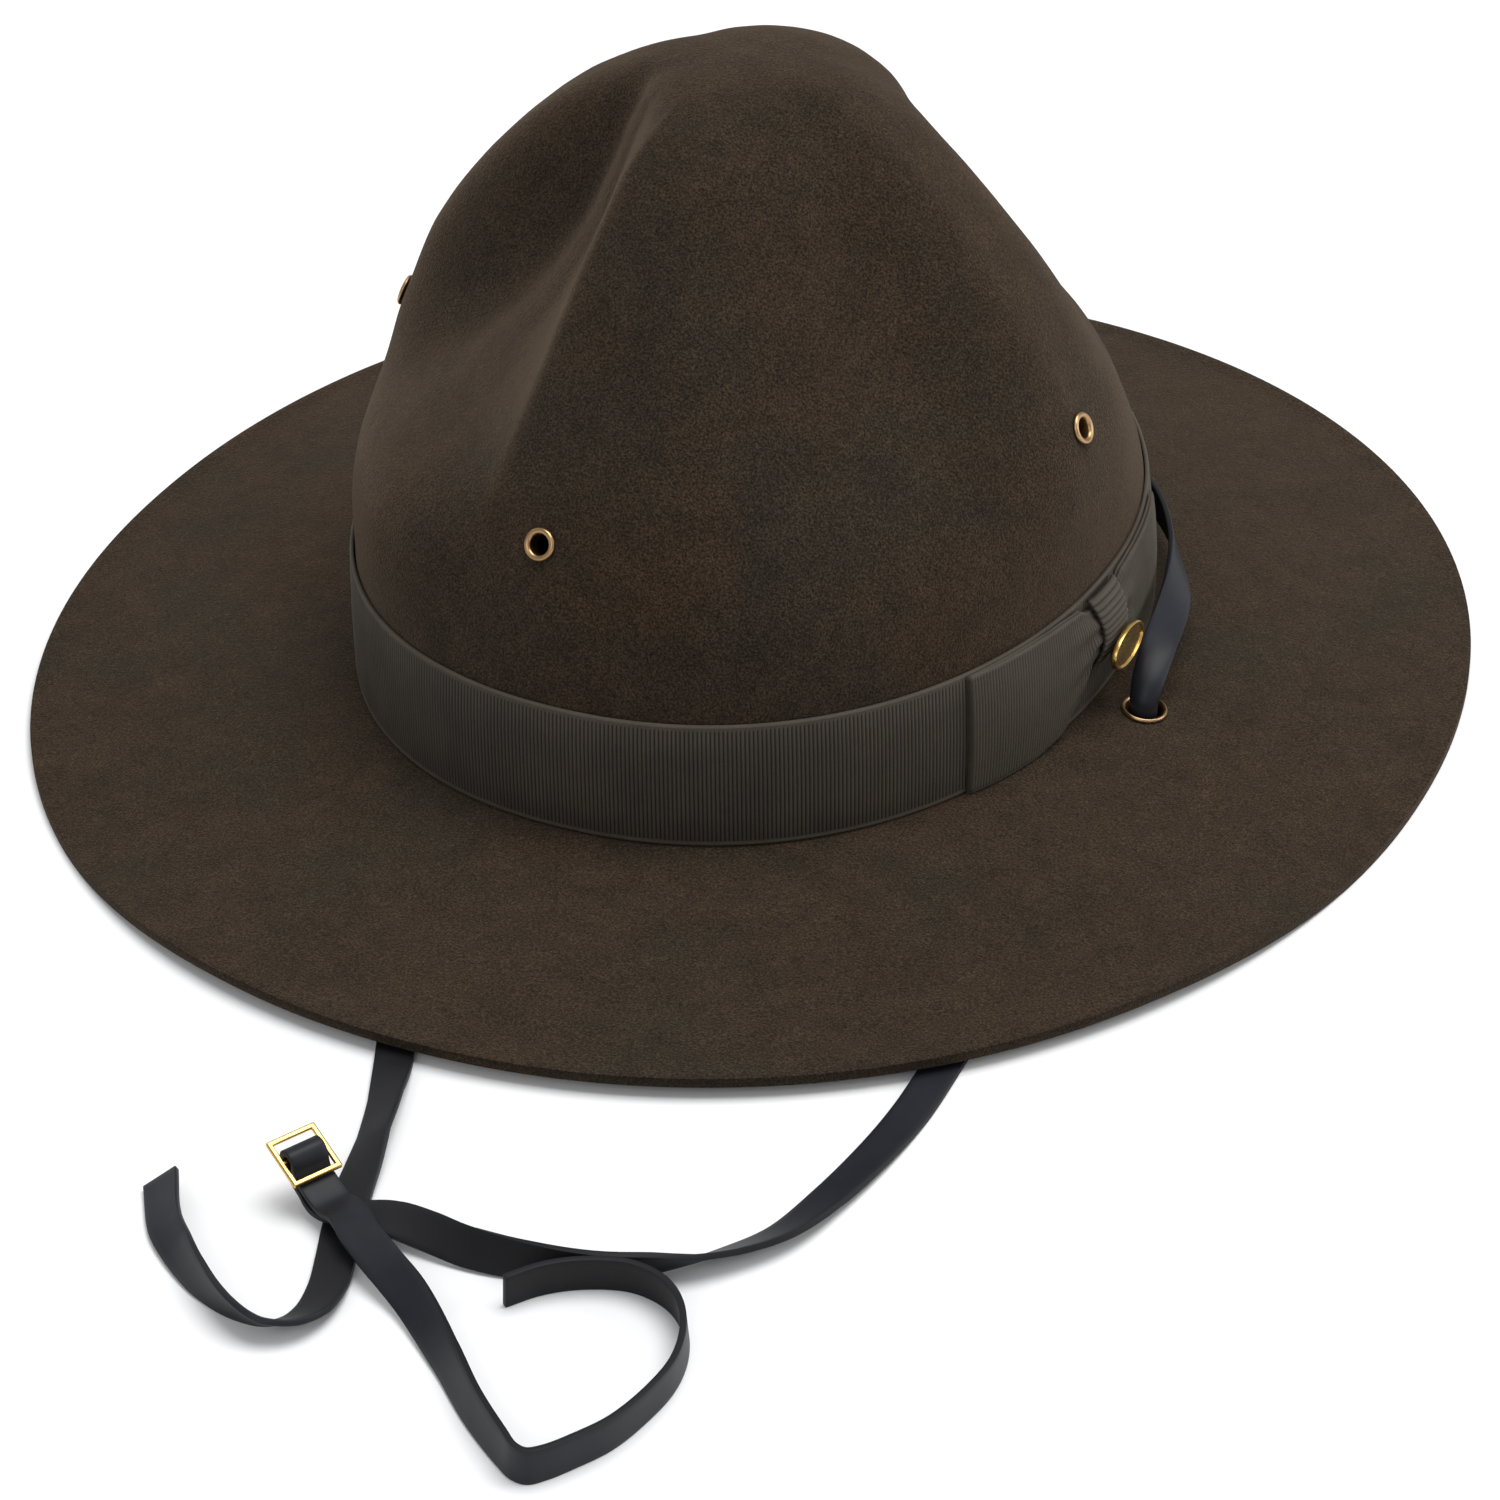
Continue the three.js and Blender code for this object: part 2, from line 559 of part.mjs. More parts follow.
// Radius share of the crown wall at a height within the ribbon
function wallInset(azimuth, up) {
  const row = up / (CROWN_RISE * CROWN_ROWS[1].rise);
  const wall = crownPoint(azimuth, row);
  return headOval(azimuth).length() - Math.hypot(wall.x, wall.y);
}

function buildRibbon() {
  const ring = (share, out) => (azimuth) => {
    const up = GAP + RIBBON_HEIGHT * share;
    return besideHead(azimuth, out - wallInset(azimuth, up), up);
  };
  const section = [
    ...[0, 0.5, 1].map((share) => ring(share, RIBBON_GAP + RIBBON)),
    ...[1, 0.75, 0.5, 0].map((share) => ring(share, RIBBON_GAP))
  ];
  section.push(section[0]);
  addPiece('ribbon_band', facingOut(bentLathe(section, HAT_SEGMENTS)), ribbon);
}

// Bends a block over the band: x is millimetres along the head from the middle of the bow,
// y is the height share of the ribbon and z the distance out from the band
function overBand(geometry, shape) {
  const position = geometry.attributes.position;
  const arc = headOval(BOW_AZIMUTH + 0.5).distanceTo(headOval(BOW_AZIMUTH - 0.5));
  for (let i = 0; i < position.count; i += 1) {
    const { along, up, out } = shape(position.getX(i), position.getY(i), position.getZ(i));
    const azimuth = BOW_AZIMUTH + along / arc;
    const inset = wallInset(azimuth, THREE.MathUtils.clamp(up, 0, RIBBON_HEIGHT));
    const point = besideHead(azimuth, RIBBON_GAP + RIBBON + 1.3 * GAP + out - inset, up);
    position.setXYZ(i, point.x, point.y, point.z);
  }
  return facingOut(closedGeometry(geometry));
}

// One loop of the bow, pressed flat at its end and gathered towards the knot. Heights and middles
// are shares of the ribbon, thick is a share of BOW_THICK, and round is how far the edges thin.
const LOOP_ROWS = [
  { along: 0.09, height: 0.40, middle: 0.67, thick: 1.85, round: 0.75 },
  { along: 0.15, height: 0.46, middle: 0.67, thick: 1.80, round: 0.72 },
  { along: 0.24, height: 0.78, middle: 0.58, thick: 1.45, round: 0.55 },
  { along: 0.40, height: 0.96, middle: 0.51, thick: 1.15, round: 0.40 },
  { along: 0.60, height: 1.00, middle: 0.50, thick: 1.00, round: 0.30 },
  { along: 0.80, height: 1.00, middle: 0.50, thick: 0.90, round: 0.30 },
  { along: 1.00, height: 0.99, middle: 0.50, thick: 0.65, round: 0.30 }
];

function buildLoop(name, length) {
  const steps = LOOP_ROWS.length - 1;
  const block = new THREE.BoxGeometry(1, 1, 1, steps, 4, 1);
  const shape = (x, y, z) => {
    const row = LOOP_ROWS[Math.round((x + 0.5) * steps)];
    return {
      along: row.along * length,
      up: GAP + RIBBON_HEIGHT * (row.middle + y * row.height),
      out: (z + 0.5) * BOW_THICK * row.thick * (1 - row.round * (2 * y) ** 2)
    };
  };
  addPiece(name, overBand(block, shape), ribbon);
}

// The knot arches over the gathered inner ends of both loops and comes down to the band
const KNOT_SEAT = BOW_THICK * LOOP_ROWS[0].thick + 1.6 * GAP;
const KNOT_ARCH = 0.92;

function buildKnot() {
  const block = new THREE.BoxGeometry(1, 1, 1, 6, 6, 1);
  const shape = (x, y, z) => {
    const edge = (2 * x) ** 4;
    const arch = KNOT_SEAT * (1 - KNOT_ARCH * (2 * y) ** 2);
    return {
      along: x * KNOT_WIDTH * (1 - 0.12 * Math.cos(Math.PI * y)),
      up: GAP + RIBBON_HEIGHT * KNOT_SHARE + y * KNOT_HEIGHT,
      out: arch + (z + 0.5) * KNOT_THICK * (1 - 0.5 * edge) - 0.4 * GAP * edge
    };
  };
  addPiece('bow_knot', overBand(block, shape), ribbon);
}

// Oval badge with a raised rim, blank in its middle
function buildBadge() {
  const outer = new THREE.Shape().absellipse(0, 0, BADGE_LENGTH / 2, BADGE_HEIGHT / 2, 0, Math.PI * 2);
  const options = { depth: BADGE_THICK, bevelEnabled: false, curveSegments: 12 };
  const well = new THREE.Shape();
  const rimWidth = 0.8;
  well.absellipse(0, 0, BADGE_LENGTH / 2 - rimWidth, BADGE_HEIGHT / 2 - rimWidth, 0, Math.PI * 2);
  const hollow = new THREE.ExtrudeGeometry(well, { ...options, depth: BADGE_THICK });
  hollow.translate(0, 0, BADGE_THICK - BADGE_RIM);
  const plate = toSolid(new THREE.ExtrudeGeometry(outer, options));
  const badge = addPiece('badge', toGeometry(plate.subtract(toSolid(hollow))), brass);
  const azimuth = BOW_AZIMUTH + 1;
  const up = GAP + RIBBON_HEIGHT * BADGE_SHARE;
  const out = RIBBON_GAP + RIBBON + 1.3 * GAP + KNOT_SEAT + KNOT_THICK + 1.5 * GAP;
  const normal = headNormal(azimuth);
  const outward = new THREE.Vector3(normal.x, normal.y, 0);
  const upward = new THREE.Vector3(0, 0, 1);
  const along = new THREE.Vector3().crossVectors(upward, outward);
  const place = new THREE.Matrix4().makeBasis(along, upward, outward);
  place.setPosition(besideHead(azimuth, out - wallInset(azimuth, up), up));
  badge.applyMatrix4(place);
}

// Height of the strap's middle when it lies on the surface, tilted and rolled
function restHeight(tilt, curl) {
  const angle = radians(tilt);
  const arc = Math.max(radians(Math.abs(curl)), 1e-3);
  const radius = STRAP_WIDTH / arc;
  const standing = radius * Math.sin(arc / 2);
  const lying = STRAP / 2 + radius * (1 - Math.cos(arc / 2));
  return LAID + standing * Math.abs(Math.sin(angle)) + lying * Math.abs(Math.cos(angle));
}

// Sweeps the strap through its rows. The width lies level, tilted by each row's degrees, and
// it keeps its side where the strap turns back over itself or goes down through a grommet.
function strapGeometry(rows, laid, startSide) {
  const curve = new THREE.CatmullRomCurve3(rows.map((row) => row.point), false, 'centripetal');
  const steps = (rows.length - 1) * 2;
  const frames = [];
  for (let i = 0; i <= steps; i += 1) {
    const k = Math.min(Math.floor(i / 2), rows.length - 2);
    const f = i / 2 - k;
    const tilt = THREE.MathUtils.lerp(rows[k].tilt, rows[k + 1].tilt, f);
    const curl = THREE.MathUtils.lerp(rows[k].curl, rows[k + 1].curl, f);
    const middle = curve.getPoint(i / steps);
    if (laid) middle.z = Math.max(middle.z, 0) + restHeight(tilt, curl);
    frames.push({ middle, tilt, curl });
  }
  let level = startSide;
  frames.forEach((frame, i) => {
    const next = frames[Math.min(i + 1, steps)].middle;
    const tangent = next.clone().sub(frames[Math.max(i - 1, 0)].middle).normalize();
    let side = new THREE.Vector3(-tangent.y, tangent.x, 0);
    if (side.length() < 0.3) side = level.clone().addScaledVector(tangent, -level.dot(tangent));
    side.normalize();
    if (side.dot(level) < 0) side.negate();
    level = side;
    frame.width = side.clone().applyAxisAngle(tangent, radians(frame.tilt));
    frame.face = tangent.clone().cross(frame.width);
  });
  const block = new THREE.BoxGeometry(1, 1, 1, steps, 2, 1);
  const position = block.attributes.position;
  for (let i = 0; i < position.count; i += 1) {
    const frame = frames[Math.round((position.getX(i) + 0.5) * steps)];
    const turn = Math.sign(frame.curl) || 1;
    const arc = Math.max(radians(Math.abs(frame.curl)), 1e-3);
    const radius = STRAP_WIDTH / arc;
    const angle = position.getY(i) * arc;
    const reach = radius + turn * position.getZ(i) * STRAP;
    const across = reach * Math.sin(angle);
    const proud = turn * (reach * Math.cos(angle) - radius * Math.cos(arc / 2));
    const point = frame.middle.clone().addScaledVector(frame.width, across).addScaledVector(frame.face, proud);
    position.setXYZ(i, point.x, point.y, point.z);
  }
  return facingOut(closedGeometry(block));
}

function buildBackStrap() {
  const rightHalf = BACK_ROUTE.slice(0, -1).reverse().map((row) => ({ ...row, azimuth: 360 - row.azimuth }));
  const rows = [...BACK_ROUTE, ...rightHalf].map((row) => ({
    ...row, point: besideHead(row.azimuth, row.out, row.up)
  }));
  addPiece('strap_back', strapGeometry(rows, false, new THREE.Vector3(-1, 0, 0)), leather);
}

function buildRun(name, route) {
  const rows = route.map((row) => ({ ...row, point: new THREE.Vector3(row.x, row.y, row.lift) }));
  const heading = rows[6].point.clone().sub(rows[0].point);
  const side = new THREE.Vector3(-heading.y, heading.x, 0).normalize();
  addPiece(name, strapGeometry(rows, true, side), leather);
}

// Square slide with a middle bar that the strap turns round
function buildBuckle() {
  const outer = BUCKLE_WINDOW + 2 * BUCKLE_BAR;
  const window = (BUCKLE_WINDOW - BUCKLE_BAR) / 2;
  let slide = toSolid(new THREE.BoxGeometry(outer, outer, BUCKLE_BAR));
  for (const side of [-1, 1]) {
    const gap = new THREE.BoxGeometry(window, BUCKLE_WINDOW, 3 * BUCKLE_BAR);
    gap.translate(side * (window + BUCKLE_BAR) / 2, 0, 0);
    slide = slide.subtract(toSolid(gap));
  }
  const buckle = addPiece('buckle', toGeometry(slide), brass);
  const place = besideBar(0, BUCKLE_Z);
  buckle.rotation.set(0, radians(BUCKLE_TILT), radians(BUCKLE_HEADING), 'ZYX');
  buckle.position.set(place.x, place.y, place.z);
}

buildFelt();
buildFittings();
buildRibbon();
buildLoop('bow_front_loop', -BOW_FRONT);
buildLoop('bow_back_loop', BOW_BACK);
buildKnot();
buildBadge();
buildBackStrap();
buildRun('strap_left_run', LEFT_ROUTE);
buildRun('strap_right_run', RIGHT_ROUTE);
buildBuckle();

export default hat;
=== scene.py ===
# %% [markdown]
# # A campaign hat in wool felt
# The hat stands on its brim with the chin strap laid out in front of it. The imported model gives
# every piece its place and size. This file dresses it: it makes finer forms for the felt, the
# ribbon, the strap and the brass, and gives each one the finish of its material.

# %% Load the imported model
import math

import bmesh
import bpy
from mathutils import Matrix, Quaternion, Vector, noise


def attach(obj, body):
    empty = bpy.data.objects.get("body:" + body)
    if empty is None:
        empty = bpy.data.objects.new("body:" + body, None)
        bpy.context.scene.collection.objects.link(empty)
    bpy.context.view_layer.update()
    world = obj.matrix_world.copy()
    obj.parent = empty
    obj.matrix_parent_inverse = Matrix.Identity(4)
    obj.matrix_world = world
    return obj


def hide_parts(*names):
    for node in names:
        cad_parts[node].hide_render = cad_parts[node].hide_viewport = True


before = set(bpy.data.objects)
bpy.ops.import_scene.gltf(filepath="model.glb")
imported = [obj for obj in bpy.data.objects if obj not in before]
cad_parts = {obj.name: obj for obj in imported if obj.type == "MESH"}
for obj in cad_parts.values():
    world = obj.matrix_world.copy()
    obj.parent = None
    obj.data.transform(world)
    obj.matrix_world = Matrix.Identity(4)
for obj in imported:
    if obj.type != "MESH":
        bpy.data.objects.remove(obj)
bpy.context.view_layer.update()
print("pieces in the packed model:", sorted(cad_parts))

# %% [markdown]
# ## Sizes
# The lengths here are millimetres, as on a hatter's drawing. They repeat the sizes of the packed
# model, because a finer surface has to lie where the plain one lies. Meshes are scaled to metres
# in the last step of making each piece.

# %% Sizes of the hat
MM = 0.001
FELT = 2.2
HEAD_HALF_WIDTH = 86.2
HEAD_HALF_LENGTH = 103.4
HEAD_POWER = 2.13
BRIM_SIDE = 76.0
BRIM_ENDS = 75.0
BRIM_POWER = 2.07
BRIM_FALL = 8.4
REST_STRIP = 5.0
CROWN_RISE = 138.0
PEAK_FORWARD = 2.2
FOOT = FELT + BRIM_FALL
GAP = 0.3
RIBBON_HEIGHT = 29.5
RIBBON = 0.8
RIBBON_GAP = 0.4
STRAP_WIDTH = 8.0
STRAP = 1.3
LAID = 0.05

# %% [markdown]
# ## The camera
# The camera stands where the photograph was taken from: a little to the wearer's left of the
# front, and looking down at the hat. A long lens keeps the brim from bulging towards us. The
# camera and the loose straps come first, because the straps are checked against the view.

# %% Camera
CAMERA_PLACE = Vector((0.3648, -0.7867, 0.5297))
CAMERA_AIM = Vector((0.0253, -0.0601, 0.0107))
CAMERA_ROLL = math.radians(-0.73)
LENS = 104.24

camera_data = bpy.data.cameras.new("camera")
camera_data.sensor_width = 36.0
camera_data.lens = LENS
camera = bpy.data.objects.new("camera", camera_data)
bpy.context.scene.collection.objects.link(camera)
look = (CAMERA_AIM - CAMERA_PLACE).to_track_quat("-Z", "Y")
camera.matrix_world = Matrix.LocRotScale(CAMERA_PLACE, look @ Quaternion((0, 0, 1), CAMERA_ROLL), None)
bpy.context.scene.camera = camera
print("camera distance", round((CAMERA_AIM - CAMERA_PLACE).length, 3), "m")

# %% [markdown]
# ## Making a piece
# Every form below is a bmesh that is shaped in millimetres. One helper scales it to metres and
# gives it a name and a material. Walls and soft edges come from modifiers, whose result is kept.


# %% Helpers for pieces
def add_piece(bm, name, material, smooth=True):
    """Turn a bmesh shaped in millimetres into an object in metres."""
    bmesh.ops.scale(bm, vec=(MM, MM, MM), verts=bm.verts)
    mesh = bpy.data.meshes.new(name)
    bm.to_mesh(mesh)
    bm.free()
    piece = bpy.data.objects.new(name, mesh)
    bpy.context.scene.collection.objects.link(piece)
    for polygon in mesh.polygons:
        polygon.use_smooth = smooth
    mesh.materials.append(material)
    return piece


def apply_modifiers(piece):
    """Keep the shape that the modifiers make, and drop the modifiers."""
    depsgraph = bpy.context.evaluated_depsgraph_get()
    mesh = bpy.data.meshes.new_from_object(piece.evaluated_get(depsgraph))
    piece.modifiers.clear()
    piece.data = mesh


def shade_smooth(piece):
    for polygon in piece.data.polygons:
        polygon.use_smooth = True


def add_bevel(piece, width, segments=2, angle=40.0):
    """Round the edges that turn by more than the angle, over a width in millimetres."""
    bevel = piece.modifiers.new("soft edges", "BEVEL")
    bevel.width = width * MM
    bevel.segments = segments
    bevel.limit_method = "ANGLE"
    bevel.angle_limit = math.radians(angle)


def add_wall(piece, thickness, offset):
    wall = piece.modifiers.new("wall", "SOLIDIFY")
    wall.thickness = thickness * MM
    wall.offset = offset
    wall.use_even_offset = True
    return wall


# %% [markdown]
# ## Shader parts that several finishes share
# Felt, ribbon, brass and leather all need small irregularities. A node group keeps that in one
# place: it takes a position and two scales and gives back a slow mottle, a fine height and flecks.


# %% Node helpers
def group_socket(group, name, direction, kind, value=None):
    socket = group.interface.new_socket(name=name, in_out=direction, socket_type=kind)
    if value is not None:
        socket.default_value = value


def link(tree, source, target):
    tree.links.new(source, target)


def noise_node(tree, vector, scale, detail=3.0, roughness=0.55, distortion=0.0):
    node = tree.nodes.new("ShaderNodeTexNoise")
    node.inputs["Scale"].default_value = scale
    node.inputs["Detail"].default_value = detail
    node.inputs["Roughness"].default_value = roughness
    node.inputs["Distortion"].default_value = distortion
    link(tree, vector, node.inputs["Vector"])
    return node


def math_node(tree, operation, first, second=None):
    node = tree.nodes.new("ShaderNodeMath")
    node.operation = operation
    for value, socket in ((first, node.inputs[0]), (second, node.inputs[1])):
        if value is None:
            continue
        if isinstance(value, (int, float)):
            socket.default_value = value
        else:
            link(tree, value, socket)
    return node.outputs[0]


def mix_colour(tree, factor, first, second, blend="MIX"):
    node = tree.nodes.new("ShaderNodeMix")
    node.data_type = "RGBA"
    node.blend_type = blend
    for value, socket in ((factor, node.inputs[0]), (first, node.inputs[6]), (second, node.inputs[7])):
        if isinstance(value, (int, float, tuple)):
            socket.default_value = value
        else:
            link(tree, value, socket)
    return node.outputs[2]


def ramp_node(tree, factor, stops):
    node = tree.nodes.new("ShaderNodeValToRGB")
    while len(node.color_ramp.elements) < len(stops):
        node.color_ramp.elements.new(0.5)
    for element, (place, colour) in zip(node.color_ramp.elements, stops):
        element.position = place
        element.color = colour
    link(tree, factor, node.inputs[0])
    return node.outputs[0]


# %% Group: grain
MOTTLE_SCALE = 60.0
FINE_SCALE = 1200.0
FLECK_SHARE = 0.45


def make_grain_group():
    """Slow mottle and fine height from noise at three sizes, for any coordinate in metres."""
    group = bpy.data.node_groups.new("grain", "ShaderNodeTree")
    group_socket(group, "Position", "INPUT", "NodeSocketVector")
    group_socket(group, "Mottle scale", "INPUT", "NodeSocketFloat", MOTTLE_SCALE)
    group_socket(group, "Fine scale", "INPUT", "NodeSocketFloat", FINE_SCALE)
    group_socket(group, "Mottle", "OUTPUT", "NodeSocketFloat")
    group_socket(group, "Fine", "OUTPUT", "NodeSocketFloat")
    group_socket(group, "Flecks", "OUTPUT", "NodeSocketFloat")
    source = group.nodes.new("NodeGroupInput")
    result = group.nodes.new("NodeGroupOutput")
    mottle = noise_node(group, source.outputs["Position"], MOTTLE_SCALE, 4.0, 0.6, 0.3)
    link(group, source.outputs["Mottle scale"], mottle.inputs["Scale"])
    fine = noise_node(group, source.outputs["Position"], FINE_SCALE, 3.0, 0.7)
    link(group, source.outputs["Fine scale"], fine.inputs["Scale"])
    flecks = noise_node(group, source.outputs["Position"], FINE_SCALE * FLECK_SHARE, 1.0, 0.4, 0.8)
    fleck_scale = math_node(group, "MULTIPLY", source.outputs["Fine scale"], FLECK_SHARE)
    link(group, fleck_scale, flecks.inputs["Scale"])
    link(group, mottle.outputs[0], result.inputs["Mottle"])
    link(group, fine.outputs[0], result.inputs["Fine"])
    link(group, flecks.outputs[0], result.inputs["Flecks"])
    return group


grain_group = make_grain_group()


def place_grain(tree, position, mottle_scale, fine_scale):
    node = tree.nodes.new("ShaderNodeGroup")
    node.node_tree = grain_group
    node.inputs["Mottle scale"].default_value = mottle_scale
    node.inputs["Fine scale"].default_value = fine_scale
    link(tree, position, node.inputs["Position"])
    return node


def new_material(name):
    material = bpy.data.materials.new(name)
    material.use_nodes = True
    tree = material.node_tree
    shader = tree.nodes["Principled BSDF"]
    position = tree.nodes.new("ShaderNodeTexCoord").outputs["Object"]
    return material, tree, shader, position


def add_bump(tree, shader, height, distance, strength=1.0):
    bump = tree.nodes.new("ShaderNodeBump")
    bump.inputs["Strength"].default_value = strength
    bump.inputs["Distance"].default_value = distance
    link(tree, height, bump.inputs["Height"])
    link(tree, bump.outputs["Normal"], shader.inputs["Normal"])


# %% [markdown]
# ## Finishes
# Wool felt has no weave. It is a mat of fine fibres, so its colour is a fine mottle of dark and
# warm brown. It has no gloss, a soft sheen lightens it at grazing angles, and handling lightens
# its ridges. A number stored on each point says where it is worn.


# %% Felt finish
def stored(tree, name):
    node = tree.nodes.new("ShaderNodeAttribute")
    node.attribute_name = name
    return node.outputs["Fac"]


def spread(tree, value, low, high):
    node = tree.nodes.new("ShaderNodeMapRange")
    node.inputs["To Min"].default_value = low
    node.inputs["To Max"].default_value = high
    link(tree, value, node.inputs["Value"])
    return node.outputs[0]


def make_felt(name, depth):
    # depth scales every colour of the felt; below 1 it gives a copy painted darker as shade
    material, tree, shader, position = new_material(name)
    grain = place_grain(tree, position, 120.0, 2100.0)
    wide = noise_node(tree, position, 22.0, 3.0, 0.6, 0.4)
    base = ramp_node(tree, grain.outputs["Fine"], [
        (0.34, (0.0082 * depth, 0.0059 * depth, 0.0041 * depth, 1)),
        (0.50, (0.0245 * depth, 0.0176 * depth, 0.0118 * depth, 1)),
        (0.66, (0.054 * depth, 0.0385 * depth, 0.0255 * depth, 1))])
    slow = ramp_node(tree, grain.outputs["Mottle"], [
        (0.30, (0.80, 0.82, 0.84, 1)), (0.70, (1.20, 1.17, 1.13, 1))])
    colour = mix_colour(tree, 1.0, base, slow, "MULTIPLY")
    warm = ramp_node(tree, wide.outputs[0], [(0.35, (0.90, 0.95, 0.97, 1)), (0.65, (1.14, 1.02, 0.93, 1))])
    colour = mix_colour(tree, 1.0, colour, warm, "MULTIPLY")
    fibres = ramp_node(tree, grain.outputs["Flecks"], [(0.70, (0, 0, 0, 1)), (0.80, (0.5, 0.5, 0.5, 1))])
    colour = mix_colour(tree, fibres, colour, (0.075 * depth, 0.052 * depth, 0.034 * depth, 1))
    worn = math_node(tree, "MULTIPLY", stored(tree, "wear"), 0.55)
    colour = mix_colour(tree, worn, colour, (0.082 * depth, 0.058 * depth, 0.038 * depth, 1))
    link(tree, colour, shader.inputs["Base Color"])
    shader.inputs["Roughness"].default_value = 0.95
    shader.inputs["Specular IOR Level"].default_value = 0.1
    shader.inputs["Sheen Weight"].default_value = 0.22
    shader.inputs["Sheen Roughness"].default_value = 0.4
    shader.inputs["Sheen Tint"].default_value = (0.62, 0.46, 0.32, 1)
    fleck_height = math_node(tree, "MULTIPLY", grain.outputs["Flecks"], 0.5)
    height = math_node(tree, "ADD", grain.outputs["Fine"], fleck_height)
    add_bump(tree, shader, height, 0.0004, 0.8)
    return material


felt_finish = make_felt("wool_felt", 1.0)
# painted shade: a copy at 0.6 of the felt's colour, for the cut edge of the brim
shaded_edge_felt_finish = make_felt("wool_felt_painted_shade_edge", 0.6)

# %% [markdown]
# Grosgrain ribbon is woven over thick cross cords, which stand up as ribs. The ribs are modelled,
# and each point keeps how high on its rib it lies. The finish paints shade into the grooves by that
# number and adds the thread colour, the thin weave over each rib and a dull silk sheen.


# %% Ribbon finish
def make_ribbon(name, thread, lighter):
    material, tree, shader, position = new_material(name)
    grain = place_grain(tree, position, 90.0, 2600.0)
    colour = mix_colour(tree, grain.outputs["Fine"], thread, lighter)
    slow = ramp_node(tree, grain.outputs["Mottle"], [
        (0.3, (0.84, 0.84, 0.85, 1)), (0.7, (1.14, 1.13, 1.11, 1))])
    colour = mix_colour(tree, 1.0, colour, slow, "MULTIPLY")
    # painted shade: the grooves between the ribs are darkened by the stored rib height
    groove = spread(tree, stored(tree, "rib"), 0.0, 1.25)
    colour = mix_colour(tree, 1.0, colour, groove, "MULTIPLY")
    link(tree, colour, shader.inputs["Base Color"])
    shader.inputs["Roughness"].default_value = 0.7
    shader.inputs["Specular IOR Level"].default_value = 0.3
    shader.inputs["Sheen Weight"].default_value = 0.14
    shader.inputs["Sheen Roughness"].default_value = 0.4
    shader.inputs["Sheen Tint"].default_value = (0.5, 0.46, 0.38, 1)
    add_bump(tree, shader, grain.outputs["Fine"], 0.00012, 0.6)
    return material


ribbon_finish = make_ribbon("grosgrain", (0.024, 0.0198, 0.0142, 1), (0.062, 0.051, 0.0365, 1))
print("felt and ribbon finishes ready")

# %% [markdown]
# The strap is dyed leather, blue-black and smooth outside and nearly black inside. Fine pores
# break up its soft highlights. Brass is yellow and polished, with slow changes in its roughness
# from handling, and the small rings are redder and duller.


# %% Leather and brass finishes
def make_leather(name, dark, light, rough_low, rough_high):
    material, tree, shader, position = new_material(name)
    grain = place_grain(tree, position, 120.0, 1800.0)
    link(tree, mix_colour(tree, grain.outputs["Mottle"], dark, light), shader.inputs["Base Color"])
    link(tree, spread(tree, grain.outputs["Mottle"], rough_low, rough_high), shader.inputs["Roughness"])
    shader.inputs["Specular IOR Level"].default_value = 0.26
    add_bump(tree, shader, grain.outputs["Fine"], 0.00006, 0.5)
    return material


def make_brass(name, dark, light, rough_low, rough_high):
    material, tree, shader, position = new_material(name)
    grain = place_grain(tree, position, 300.0, 3000.0)
    link(tree, mix_colour(tree, grain.outputs["Mottle"], dark, light), shader.inputs["Base Color"])
    shader.inputs["Metallic"].default_value = 1.0
    link(tree, spread(tree, grain.outputs["Mottle"], rough_low, rough_high), shader.inputs["Roughness"])
    add_bump(tree, shader, grain.outputs["Fine"], 0.000004, 0.3)
    return material


leather_outside = make_leather("strap_outside", (0.0062, 0.0068, 0.0098, 1), (0.0125, 0.0135, 0.019, 1),
                               0.42, 0.56)
leather_inside = make_leather("strap_inside", (0.0034, 0.0034, 0.0042, 1), (0.0072, 0.0072, 0.0088, 1),
                              0.52, 0.68)
brass_finish = make_brass("polished_brass", (0.62, 0.38, 0.09, 1), (0.78, 0.52, 0.17, 1), 0.18, 0.3)
ring_finish = make_brass("ring_brass", (0.36, 0.22, 0.1, 1), (0.5, 0.33, 0.17, 1), 0.24, 0.42)
print("leather and brass finishes ready")

# %% [markdown]
# ## The loose straps
# Each strap leaves a grommet rolled into a gutter, flattens under the brim and comes out in front
# of it on the surface. A flat strap can lie flat, lean or stand on its edge, so a row of the
# route gives its place, how high it lies over what is below, its tilt and its roll.

# %% Routes of the straps
# x, y, lift, tilt, curl: millimetres and degrees
LEFT_START = [
    (97.9, -7.4, 4, 0, -160), (97.75, -7.6, 1.9, 0, -160), (97.8, -8.5, 0.8, 0, -150),
    (97.9, -10.4, 0.4, 0, -130), (98.1, -13.4, 0.2, 0, -90), (98.3, -17.5, 0, 0, -50),
    (98.6, -23, 0, 0, -20), (99, -30, 0, 0, 0), (100, -52, 0, 0, 0), (101, -80, 0, 0, 0),
    (102, -108, 0, 0, 0), (103, -136, 0, 0, 0), (103.3, -153, 0, 0, 0), (102.4, -167, 0, 6, 0),
    (99.7, -185, 0, 13, 0), (95.8, -200, 0, 25, 0), (89.6, -209.5, 0, 34, 0),
    (84.2, -215.4, 0, 45, 0), (77.9, -220.2, 0, 64, 0), (69.8, -225, 0, 80, 0),
    (59.8, -228, 0, 94, 0), (52, -229.4, 0, 110, 0), (43.9, -229.4, 0, 128, 0),
    (35, -228.4, 0.9, 146, 0), (26.5, -227.6, 1.8, 166, 0), (19.6, -228.2, 1.7, 178, 0)]
